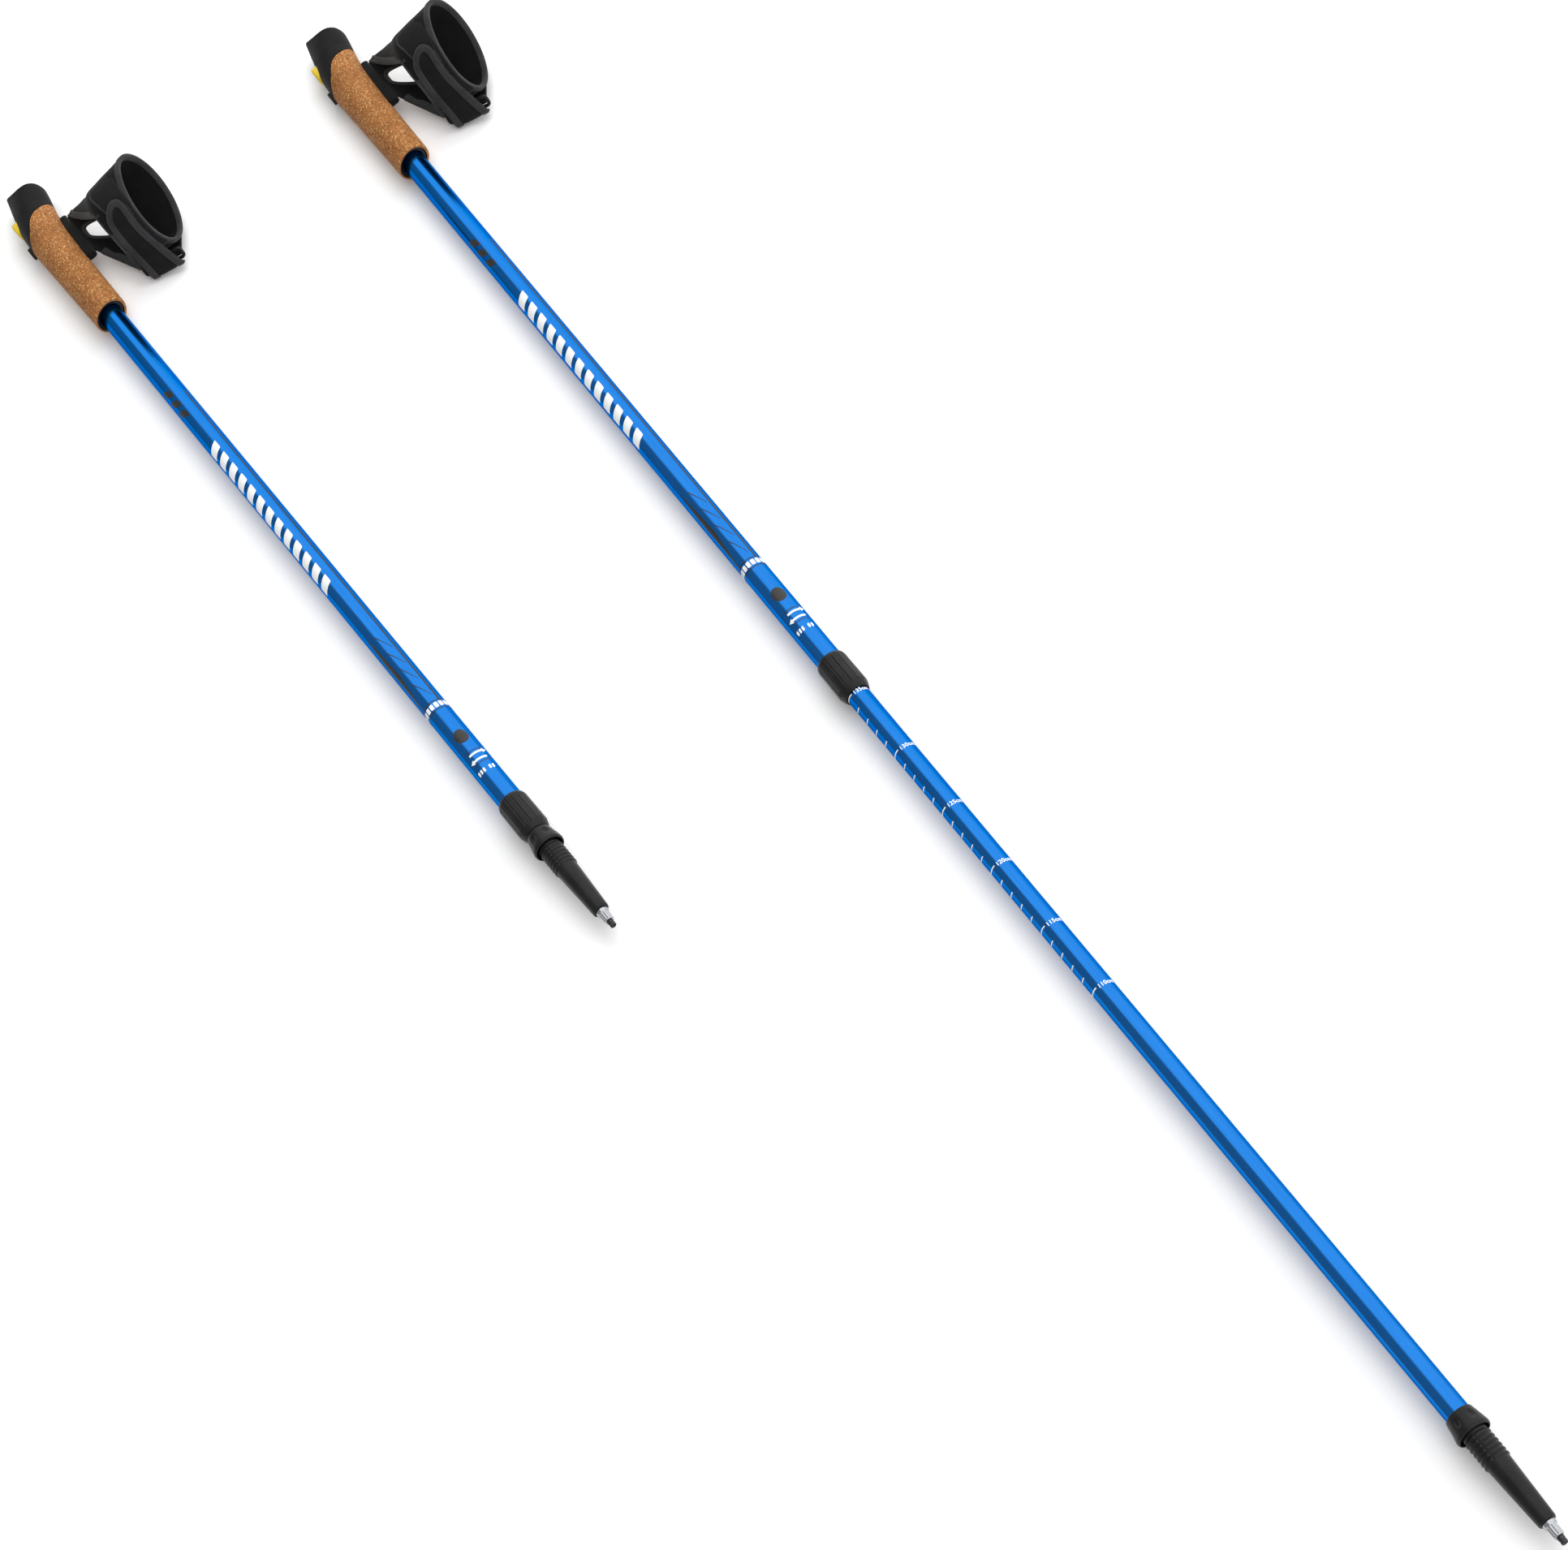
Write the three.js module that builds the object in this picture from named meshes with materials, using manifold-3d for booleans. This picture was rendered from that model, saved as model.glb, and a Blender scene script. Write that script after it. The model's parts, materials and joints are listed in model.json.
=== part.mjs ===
// Pair of two-section trekking poles with cork grips, wrist straps and twist locks.
// One pole lies pulled out to its full length and the other lies pushed together.
// Millimetres, +Z up. Each pole is drawn along Y: station 0 is the lower rim of the lock
// collar, +Y runs to the grip, +X is the rear of the grip where the strap leaves it.
import * as THREE from 'three';
import { mergeVertices } from 'three/addons/utils/BufferGeometryUtils.js';
import Module from 'manifold-3d';

const wasm = await Module();
wasm.setup();

// ---------------------------------------------------------------- driving dimensions
const GAP = 0.3; // clearance between pieces that touch
const ROUND = 20; // sides of the large turned pieces
const SMALL_ROUND = 12; // sides of the small turned pieces

const PAIR_SPACING = 197.4; // pushed-together pole's axis to the other's, across the floor
const PAIR_SHIFT = 65.3; // how much further the pushed-together pole lies towards +Y
const PAIR_YAW = 0.0443; // angle between the two poles, radians

const SHAFT_TRAVEL = 562; // from full length to pushed together
const UPPER_R = 8.0;
const LOWER_R = 7.0;
const TUBE_WALL = 0.65;
const UPPER_TOP = 634; // upper tube's end inside the grip
const UPPER_FOOT = 4.2; // upper tube's end inside the collar

const GRIP_HALF = 13.5; // grip's half thickness, which is the axis height above the floor
const CORE_R = 10.7;
const CORK_END = 550.8; // middle of the grip's lower end
const CORK_SLANT = 0.2; // rise of the lower end towards the rear, per mm across
const CORE_RECESS = 2; // step from the cork's lower end up to the core's
const TONGUE = { low: 639.6, high: 649.6, front: -15.9, half: 2.0 };
const ROOT = { x: 15.6, depth: 4, low: 607, high: 650.5, half: 2.4 }; // bar the strap hinges on
const BUTTON = { y: 670, half: 7.5, side: 5.4, face: -14.2, back: -4.5 };
const STEM = { half: 2.2, y: 669, end: 3.0 };
const SPRING = { end: 11.2, radius: 1.7, wire: 0.35, turns: 4.5 };
const LATCH = { x0: -1.2, x1: 0.8, low: 650.2, high: 677.5, side: 4.6 };
const PRESS = 2.5; // button travel, and latch lift

const TIP_TOP = -565; // upper rim of the tip's collar
const COLLAR_RIM = -577; // its widest rim
const COLLAR_SOCKET = 4; // height of the hollow under the collar's rim
const RIBS = 6;
const RIBS_LOW = -597;
const RIB_PITCH = 2.93;
const [GROOVE_R, RIB_R] = [6.8, 7.55];
const TUBE_FOOT = -577; // lower tube's end inside the tip's collar
const SPIGOT = 25; // length of the tip's spigot inside the tube
const BODY_END = -635.6;
const FERRULE_END = -644.6;
const TIP_END = -649;
const CARBIDE_ROOT = 4.3; // depth of the carbide's shank inside the ferrule
const FERRULE_ROOT = 5.6; // depth of the ferrule's shank inside the tip

const SPINDLE_R = 2.5;
const SPINDLE = { low: 10, high: 66.5, thread: 12, pitch: 8 };
const SLEEVE = { low: 33, throat: 44, high: 61, bore: 2.85, mouth: 5.8 };
const CONE_RIM = 1.6; // straight rim above the cone's taper
const STOP = { low: 64.6, high: 67, radius: 5.2 };
const PLUG = { low: 8, rim: 25.3, high: 28 };

// Wrist cuff: an oval ring that stands beside the grip, from its back to its wrist rim.
const RIM_CENTRE = new THREE.Vector3(72, 589, 36 - GRIP_HALF);
const BACK_CENTRE = new THREE.Vector3(41, 594, 27 - GRIP_HALF);
const CUFF_LONG = new THREE.Vector3(-4.1, -21.7, -23.3);
const CUFF_SHORT = new THREE.Vector3(12.6, 11.3, -12.7);
const BACK_SCALE = [0.9, 0.55]; // the back's long and short half axes against the rim's
const CUFF_WALL = 2.4;
const STRAP = 2.0; // thickness of the strap webbing
const BAR = new THREE.Vector3(50, 561.0, 6.0 - GRIP_HALF); // closure loop's lower bar
const BAR_DIR = new THREE.Vector3(0.9, -0.38, 0.12).normalize();
const BAND_HALF = 12.5;
const FOLD_R = 3.4; // middle of the band where it turns round the loop's bar
const LOOP = { half: 15.3, rise: 7, wire: 1.2, lean: 23 };

// ---------------------------------------------------------------- finishes
const finish = (color, roughness, metalness) =>
  new THREE.MeshStandardMaterial({ color, roughness, metalness });
const LOOKS = {
  blue: finish(0x2586e6, 0.28, 0.85),
  plastic: finish(0x2d2d2e, 0.55, 0),
  cork: finish(0xa5643c, 0.85, 0),
  yellow: finish(0xdec41c, 0.4, 0),
  steel: finish(0xb9bcc0, 0.25, 1),
  carbide: finish(0x2b2b2d, 0.35, 0.8),
  webbing: finish(0x29292b, 0.9, 0),
  nylon: finish(0xd8d8d4, 0.5, 0),
};

// ---------------------------------------------------------------- geometry helpers
const V = (x, y, z) => new THREE.Vector3(x, y, z);

// A geometry with shared vertices merged and zero-area triangles dropped.
function welded(geometry) {
  const bare = geometry.index ? geometry.toNonIndexed() : geometry.clone();
  for (const name of ['normal', 'uv']) bare.deleteAttribute(name);
  const merged = mergeVertices(bare, 1e-4);
  const kept = [];
  const index = merged.index.array;
  for (let i = 0; i < index.length; i += 3) {
    const [a, b, c] = [index[i], index[i + 1], index[i + 2]];
    if (a !== b && b !== c && c !== a) kept.push(a, b, c);
  }
  merged.setIndex(kept);
  return merged;
}

function solid(geometry) {
  const merged = welded(geometry);
  return new wasm.Manifold(new wasm.Mesh({
    numProp: 3,
    vertProperties: new Float32Array(merged.attributes.position.array),
    triVerts: new Uint32Array(merged.index.array),
  }));
}

function geometryOf(manifold) {
  const mesh = manifold.getMesh();
  const geometry = new THREE.BufferGeometry();
  geometry.setAttribute('position', new THREE.BufferAttribute(mesh.vertProperties, 3));
  geometry.setIndex(new THREE.BufferAttribute(mesh.triVerts, 1));
  return geometry;
}

// A solid of revolution about Y from [radius, y] points, bottom to top.
function turned(profile, sides = ROUND) {
  const points = profile.map(([r, y]) => new THREE.Vector2(r, y));
  return facingOut(welded(new THREE.LatheGeometry(points, sides)));
}

// A solid of revolution with a hole: the outside from bottom to top, then the inside back down.
function sleeve(outside, inside, sides = ROUND) {
  return turned([...outside, ...inside, outside[0]], sides);
}

const tube = (outer, inner, y0, y1, sides = ROUND) =>
  sleeve([[outer, y0], [outer, y1]], [[inner, y1], [inner, y0]], sides);

const rod = (radius, y0, y1, sides = SMALL_ROUND) =>
  turned([[0, y0], [radius, y0], [radius, y1], [0, y1]], sides);

const block = (x0, x1, y0, y1, z0, z1) =>
  new THREE.BoxGeometry(x1 - x0, y1 - y0, z1 - z0)
    .translate((x0 + x1) / 2, (y0 + y1) / 2, (z0 + z1) / 2);

// A prism that runs through the grip from side to side, from an outline in X and Y.
function prism(outline, half = 30) {
  const shape = new THREE.Shape(outline.map(([x, y]) => new THREE.Vector2(x, y)));
  const geometry = new THREE.ExtrudeGeometry(shape, { depth: 2 * half, bevelEnabled: false });
  return geometry.translate(0, 0, -half);
}

// Joins rings of equal point count into a skin. A closed run joins the last ring to the first;
// an open one is capped flat at both ends.
function loft(rings, closed = false) {
  const count = rings[0].length;
  const points = rings.flat().flatMap((p) => [p.x, p.y, p.z]);
  const index = [];
  const last = closed ? rings.length : rings.length - 1;
  for (let r = 0; r < last; r += 1) {
    const next = (r + 1) % rings.length;
    for (let i = 0; i < count; i += 1) {
      const j = (i + 1) % count;
      const [a, b, c, d] = [r * count + i, r * count + j, next * count + j, next * count + i];
      index.push(a, b, c, a, c, d);
    }
  }
  if (!closed) {
    const top = (rings.length - 1) * count;
    for (let i = 1; i < count - 1; i += 1) {
      index.push(0, i + 1, i, top, top + i, top + i + 1);
    }
  }
  const geometry = new THREE.BufferGeometry();
  geometry.setAttribute('position', new THREE.Float32BufferAttribute(points, 3));
  geometry.setIndex(index);
  return facingOut(geometry);
}

// Turns every triangle over if the closed mesh faces in.
function facingOut(geometry) {
  const p = geometry.attributes.position;
  const index = geometry.index.array;
  let volume = 0;
  for (let i = 0; i < index.length; i += 3) {
    const [a, b, c] = [0, 1, 2].map((k) => V(0, 0, 0).fromBufferAttribute(p, index[i + k]));
    volume += a.dot(b.cross(c));
  }
  if (volume < 0) {
    const turnedOver = [];
    for (let i = 0; i < index.length; i += 3) {
      turnedOver.push(index[i], index[i + 2], index[i + 1]);
    }
    geometry.setIndex(turnedOver);
  }
  return geometry;
}

// A sheet of even thickness over a grid of points. keep(row, column) says which cells exist,
// so that a hole can be left in the sheet.
function sheet(grid, thickness, keep = () => true) {
  const rows = grid.length;
  const columns = grid[0].length;
  const points = [];
  for (const side of [0.5, -0.5]) {
    for (let r = 0; r < rows; r += 1) {
      for (let c = 0; c < columns; c += 1) {
        const along = V(0, 0, 0).subVectors(grid[r][Math.min(c + 1, columns - 1)],
          grid[r][Math.max(c - 1, 0)]);
        const across = V(0, 0, 0).subVectors(grid[Math.min(r + 1, rows - 1)][c],
          grid[Math.max(r - 1, 0)][c]);
        const normal = along.cross(across).normalize();
        const p = grid[r][c].clone().addScaledVector(normal, side * thickness);
        points.push(p.x, p.y, p.z);
      }
    }
  }
  const at = (r, c, side) => side * rows * columns + r * columns + c;
  const index = [];
  const quad = (a, b, c, d) => index.push(a, b, c, a, c, d);
  const cell = (r, c) => r >= 0 && c >= 0 && r < rows - 1 && c < columns - 1 && keep(r, c);
  for (let r = 0; r < rows - 1; r += 1) {
    for (let c = 0; c < columns - 1; c += 1) {
      if (!cell(r, c)) continue;
      const [p, q] = [r + 1, c + 1];
      quad(at(r, c, 0), at(r, q, 0), at(p, q, 0), at(p, c, 0));
      quad(at(r, c, 1), at(p, c, 1), at(p, q, 1), at(r, q, 1));
      if (!cell(r - 1, c)) quad(at(r, c, 0), at(r, c, 1), at(r, q, 1), at(r, q, 0));
      if (!cell(r + 1, c)) quad(at(p, q, 0), at(p, q, 1), at(p, c, 1), at(p, c, 0));
      if (!cell(r, c - 1)) quad(at(p, c, 0), at(p, c, 1), at(r, c, 1), at(r, c, 0));
      if (!cell(r, c + 1)) quad(at(r, q, 0), at(r, q, 1), at(p, q, 1), at(p, q, 0));
    }
  }
  const geometry = new THREE.BufferGeometry();
  geometry.setAttribute('position', new THREE.Float32BufferAttribute(points, 3));
  geometry.setIndex(index);
  return facingOut(welded(geometry));
}

function piece(name, geometry, material) {
  const mesh = new THREE.Mesh(geometry, material);
  mesh.name = name;
  return mesh;
}

// ---------------------------------------------------------------- grip
const [GRIP_LOW, GRIP_TOP] = [540, 706];

// Outside of the whole grip, as ellipses: [station, front x, rear x, half thickness].
const GRIP_SECTIONS = [
  [GRIP_LOW, -11.9, 12.7, 12.4],
  [575, -12.6, 12.9, 12.8],
  [610, -13.3, 13.1, 13.3],
  [640, -14.0, 14.1, GRIP_HALF],
  [660, -13.3, 15.7, 13.2],
  [680, -9.7, 19.3, 12.2],
  [692, -7.2, 20.6, 11.0],
  [GRIP_TOP, -4.2, 21.4, 9.4],
];

function gripRing([y, front, rear, half]) {
  const ring = [];
  for (let i = 0; i < ROUND; i += 1) {
    const turn = (i / ROUND) * 2 * Math.PI;
    const x = (front + rear) / 2 + ((rear - front) / 2) * Math.cos(turn);
    ring.push(V(x, y, half * Math.sin(turn)));
  }
  return ring;
}

// Line where the cork meets the moulded head, from the rear edge to the front edge.
const CORK_TOP = [
  [30, 667], [16, 666.5], [9.6, 664], [4.6, 662], [0.7, 659.6], [-2, 656.4],
  [-5.4, 651.5], [-9.3, 647], [-12, 643.5], [-14.7, 640], [-30, 639.5],
];

// Top of the head: a raised front corner, a shallow dip and a rounded rear corner.
const HEAD_TOP = [
  [-30, 702], [-4, 702], [0, 698], [4, 695.3], [8, 693.6], [13, 692], [17, 690], [19.6, 686.8],
  [21, 682], [30, 680],
];

const FAR = 30; // further out than any side of the grip
const slantedEnd = (x, rise) => [x, CORK_END + rise + CORK_SLANT * x];

const tongueSlot = () => solid(block(-FAR, FAR, TONGUE.low - GAP, TONGUE.high + GAP,
  -TONGUE.half - GAP, TONGUE.half + GAP));

function corkGrip(whole) {
  const region = prism([slantedEnd(-FAR, 0), slantedEnd(FAR, 0), ...CORK_TOP]);
  return whole.intersect(solid(region))
    .subtract(solid(rod(CORE_R + GAP, GRIP_LOW, GRIP_TOP, ROUND)))
    .subtract(tongueSlot());
}

function gripHead(whole) {
  const raised = CORK_TOP.map(([x, y]) => [x, y + GAP]);
  const region = prism([...raised, ...HEAD_TOP]);
  const spigot = solid(rod(CORE_R, UPPER_TOP + 0.8, BUTTON.y, ROUND));
  const travel = PRESS + GAP;
  const pocket = BUTTON.back + travel;
  const buttonBore = new THREE.CylinderGeometry(1, 1, 1, ROUND).rotateZ(Math.PI / 2)
    .scale(FAR + pocket, BUTTON.half + GAP, BUTTON.side + GAP)
    .translate((pocket - FAR) / 2, BUTTON.y, 0);
  const bore = STEM.half + 2 * GAP;
  const stemBore = block(BUTTON.back, SPRING.end + 0.8, STEM.y - bore, STEM.y + bore + PRESS,
    -bore, bore);
  const latchRoom = block(LATCH.x0 - GAP, LATCH.x1 + GAP, LATCH.low - 1, LATCH.high + travel,
    -LATCH.side - GAP, LATCH.side + GAP);
  return whole.intersect(solid(region)).add(spigot)
    .subtract(solid(buttonBore))
    .subtract(solid(stemBore))
    .subtract(solid(latchRoom))
    .subtract(tongueSlot());
}

function gripCore() {
  const region = prism([slantedEnd(-FAR, CORE_RECESS), slantedEnd(FAR, CORE_RECESS),
    [FAR, UPPER_TOP], [-FAR, UPPER_TOP]]);
  return solid(tube(CORE_R, UPPER_R + GAP, GRIP_LOW, GRIP_TOP)).intersect(solid(region));
}

function releaseButton() {
  const [x0, x1] = [BUTTON.face, BUTTON.back];
  const cap = new THREE.CylinderGeometry(1, 1, 1, ROUND).rotateZ(Math.PI / 2)
    .scale(x1 - x0, BUTTON.half, BUTTON.side).translate((x0 + x1) / 2, BUTTON.y, 0);
  const stemTop = STEM.y + STEM.half;
  const stem = block(x1 - 1, STEM.end, STEM.y - STEM.half, stemTop, -STEM.half, STEM.half);
  const rampEnd = LATCH.x0 - GAP;
  const ramp = prism([[x1 - 1, stemTop - 1], [rampEnd, stemTop - 1], [rampEnd, stemTop],
    [rampEnd - PRESS, stemTop + PRESS], [x1 - 1, stemTop + PRESS]], STEM.half);
  return solid(cap).add(solid(stem)).add(solid(ramp));
}

class Coil extends THREE.Curve {
  getPoint(t) {
    const turn = t * SPRING.turns * 2 * Math.PI;
    const x = THREE.MathUtils.lerp(STEM.end + 0.8, SPRING.end, t);
    return V(x, STEM.y + SPRING.radius * Math.cos(turn), SPRING.radius * Math.sin(turn));
  }
}

function buttonSpring() {
  const wire = new THREE.Shape();
  wire.absarc(0, 0, SPRING.wire, 0, 2 * Math.PI);
  return welded(new THREE.ExtrudeGeometry(wire,
    { steps: 36, curveSegments: 3, extrudePath: new Coil() }));
}

function latch() {
  const plate = block(LATCH.x0, LATCH.x1, LATCH.low, LATCH.high, -LATCH.side, LATCH.side);
  const window = block(-5, 5, STEM.y - STEM.half - PRESS - GAP, STEM.y + STEM.half + GAP,
    -STEM.half - GAP, STEM.half + GAP);
  return solid(plate).subtract(solid(window));
}

// ---------------------------------------------------------------- strap
function strapClip() {
  const tongue = block(TONGUE.front, ROOT.x + 1, TONGUE.low, TONGUE.high,
    -TONGUE.half, TONGUE.half);
  const bar = block(ROOT.x, ROOT.x + ROOT.depth, ROOT.low, ROOT.high, -ROOT.half, ROOT.half);
  return solid(tongue).add(solid(bar));
}

// A point of the cuff's middle skin: v from the back 0 to the wrist rim 1, turn from the lower
// fold 0 through the far wall 90 degrees to the upper fold 180 degrees; offset is outwards.
function cuffPoint(v, degrees, offset = 0) {
  const turn = THREE.MathUtils.degToRad(degrees);
  const centre = V(0, 0, 0).lerpVectors(BACK_CENTRE, RIM_CENTRE, v);
  const long = CUFF_LONG.length() * THREE.MathUtils.lerp(BACK_SCALE[0], 1, v) + offset;
  const short = CUFF_SHORT.length() * THREE.MathUtils.lerp(BACK_SCALE[1], 1, v) + offset;
  return centre
    .addScaledVector(CUFF_LONG.clone().normalize(), long * Math.cos(turn))
    .addScaledVector(CUFF_SHORT.clone().normalize(), short * Math.sin(turn));
}

function wristCuff() {
  const ring = (v, offset) => {
    const points = [];
    for (let i = 0; i < 24; i += 1) points.push(cuffPoint(v, i * 15, offset));
    return points;
  };
  const half = CUFF_WALL / 2;
  return loft([ring(0, half), ring(0.5, half), ring(1, half), ring(1, -half), ring(0.5, -half),
    ring(0, -half)], true);
}

// Sheet from the clip's bar to the cuff's back: an upper and a lower strap with the thumb hole
// between them.
function palmStrap() {
  const [rows, columns] = [9, 7];
  const grid = [];
  for (let r = 0; r < rows; r += 1) {
    const share = r / (rows - 1);
    const root = V(ROOT.x + ROOT.depth + 1.2, THREE.MathUtils.lerp(ROOT.high, ROOT.low, share), 0);
    const end = cuffPoint(-0.06, THREE.MathUtils.lerp(178, 12, share));
    const row = [];
    for (let c = 0; c < columns; c += 1) {
      row.push(V(0, 0, 0).lerpVectors(root, end, c / (columns - 1)));
    }
    grid.push(row);
  }
  const inHole = (r, c) => (r === 3 || r === 4) && c >= 1 && c <= 4;
  return sheet(grid, STRAP, (r, c) => !inHole(r, c));
}

// A strap in two runs: turned round the loop's bar, then laid on the outside of the cuff.
const BAND_V = [0.2, 0.55, 0.9]; // the band's edges and middle, across the cuff's width

function band(barTurns, cuffTurns, lift) {
  const grid = [-1, 0, 1].map((side, i) => [
    ...barTurns.map((a) => aboutBar(a, FOLD_R).addScaledVector(BAR_DIR, side * BAND_HALF)),
    ...cuffTurns.map((a) => cuffPoint(BAND_V[i], a, CUFF_WALL / 2 + lift)),
  ]);
  return sheet(grid, STRAP);
}

// Unit directions square to the bar: up, and back towards the far wall.
const BAR_BACK = V(0, 0, 1).cross(BAR_DIR).normalize();
const BAR_UP = BAR_DIR.clone().cross(BAR_BACK).normalize();

const aboutBar = (degrees, radius) => {
  const turn = THREE.MathUtils.degToRad(degrees);
  return BAR.clone().addScaledVector(BAR_BACK, radius * Math.cos(turn))
    .addScaledVector(BAR_UP, radius * Math.sin(turn));
};

const closureTab = () => band([-100, -125, -150, -175], [-52, -68, -84, -100, -116], 1.7);

const closureWeb = () => band([-2], [22, 36], 1.9);

function strapLoop() {
  const frame = new THREE.Shape();
  const [w, h, t] = [LOOP.half, LOOP.rise, LOOP.wire];
  frame.moveTo(-w - t, -t).lineTo(w + t, -t).lineTo(w + t, h + t).lineTo(-w - t, h + t);
  const hole = new THREE.Path();
  hole.moveTo(-w + t, t).lineTo(-w + t, h - t).lineTo(w - t, h - t).lineTo(w - t, t);
  frame.holes.push(hole);
  const geometry = new THREE.ExtrudeGeometry(frame, { depth: 2 * t, bevelEnabled: false });
  geometry.translate(0, 0, -t);
  const lean = THREE.MathUtils.degToRad(LOOP.lean);
  const rise = BAR_BACK.clone().multiplyScalar(Math.sin(lean))
    .addScaledVector(BAR_UP, Math.cos(lean));
  const face = BAR_DIR.clone().cross(rise).normalize();
  const pose = new THREE.Matrix4().makeBasis(BAR_DIR, rise, face).setPosition(BAR);
  return welded(geometry.applyMatrix4(pose));
}

// ---------------------------------------------------------------- shaft
const upperTube = () => tube(UPPER_R, UPPER_R - TUBE_WALL, UPPER_FOOT, UPPER_TOP);

const lowerTube = () => tube(LOWER_R, LOWER_R - TUBE_WALL, TUBE_FOOT, PLUG.rim - GAP);

function lockCollar() {
  const [low, top] = [-2.6, 27.8];
  const outside = [[7.7, low], [8.9, -0.6], [9.9, 2.6], [9.9, 5], [9.6, top - 1], [9.1, top]];
  const bore = UPPER_R + GAP;
  const lip = LOWER_R + GAP;
  return sleeve(outside, [[bore, top], [bore, UPPER_FOOT - GAP], [lip, UPPER_FOOT - GAP],
    [lip, low]]);
}

function tubePlug() {
  const bore = SPINDLE_R + GAP;
  const fit = LOWER_R - TUBE_WALL - GAP;
  return sleeve([[fit, PLUG.low], [fit, PLUG.rim], [LOWER_R, PLUG.rim], [LOWER_R, PLUG.high]],
    [[bore, PLUG.high], [bore, PLUG.low]]);
}

// Spindle with a few raised thread turns, drawn as rings.
function lockSpindle() {
  const { low, high, thread, pitch } = SPINDLE;
  const root = SPINDLE_R - 0.3;
  const profile = [[0, low], [root, low]];
  for (let y = thread; y < high - pitch / 2; y += pitch) {
    profile.push([root, y], [SPINDLE_R, y + 1.2], [root, y + 2.4]);
  }
  profile.push([root, high], [0, high]);
  return turned(profile, SMALL_ROUND);
}

// Split sleeve that the cone spreads against the inside of the upper tube.
function expanderSleeve() {
  const outer = UPPER_R - TUBE_WALL - GAP;
  const { low, throat, high, bore, mouth } = SLEEVE;
  let body = solid(sleeve([[outer, low], [outer, high]],
    [[mouth, high], [bore, throat], [bore, low]]));
  for (let i = 0; i < 4; i += 1) {
    const slit = block(0, 10, throat - 2, high + 1, -0.5, 0.5);
    body = body.subtract(solid(slit.rotateY((i + 0.5) * (Math.PI / 2))));
  }
  return body;
}

function expanderCone() {
  const { throat, high, bore, mouth } = SLEEVE;
  const slope = (mouth - bore) / (high - throat);
  const radius = (y) => bore + slope * (y - throat) - GAP;
  const start = throat + 6;
  const top = high + CONE_RIM;
  return sleeve([[radius(start), start], [radius(high), high], [radius(high), top]],
    [[bore, top], [bore, start]], SMALL_ROUND);
}

const endStop = () => tube(STOP.radius, SPINDLE_R + GAP, STOP.low, STOP.high, SMALL_ROUND);

// ---------------------------------------------------------------- tip
// Flared collar round the tube's end, hollow underneath.
function tipCollar() {
  const bore = LOWER_R + GAP;
  return sleeve(
    [[9.2, COLLAR_RIM - 1.4], [9.9, COLLAR_RIM - 0.8], [10.1, COLLAR_RIM + 0.8],
      [9.5, COLLAR_RIM + 3.5], [8.5, TIP_TOP - COLLAR_SOCKET], [7.9, TIP_TOP]],
    [[bore, TIP_TOP], [bore, COLLAR_RIM + COLLAR_SOCKET]]);
}

// Plastic tip: a spigot inside the tube, rings below the collar and a tapering end.
function tipBody() {
  const socket = BODY_END + FERRULE_ROOT + 0.4;
  const profile = [[0, socket], [2.3, socket], [2.3, BODY_END], [4.7, BODY_END],
    [5.3, BODY_END + 1.2], [GROOVE_R, RIBS_LOW - 0.6]];
  for (let i = 0; i < RIBS; i += 1) {
    const y = RIBS_LOW + i * RIB_PITCH;
    profile.push([GROOVE_R, y], [RIB_R, y + 0.6], [RIB_R, y + 1.9], [GROOVE_R, y + 2.5]);
  }
  const spigot = LOWER_R - TUBE_WALL - GAP;
  profile.push([GROOVE_R, TUBE_FOOT - GAP], [spigot, TUBE_FOOT - GAP],
    [spigot, TUBE_FOOT + SPIGOT], [0, TUBE_FOOT + SPIGOT]);
  return turned(profile, 16);
}

function tipFerrule() {
  const socket = FERRULE_END + CARBIDE_ROOT + GAP;
  const flange = BODY_END - 1.8;
  return turned([[0, socket], [1.6, socket], [1.6, FERRULE_END], [2.9, FERRULE_END],
    [3.1, flange - 0.8], [3.9, flange], [3.9, BODY_END - GAP], [2.0, BODY_END - GAP],
    [2.0, BODY_END + FERRULE_ROOT], [0, BODY_END + FERRULE_ROOT]], SMALL_ROUND);
}

function carbideTip() {
  const head = FERRULE_END - GAP;
  const root = FERRULE_END + CARBIDE_ROOT;
  return turned([[0, TIP_END + 0.8], [1.2, TIP_END + 0.4], [1.9, TIP_END], [2.05, TIP_END + 3],
    [2.05, head], [1.3, head], [1.3, root], [0, root]], SMALL_ROUND);
}

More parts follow.
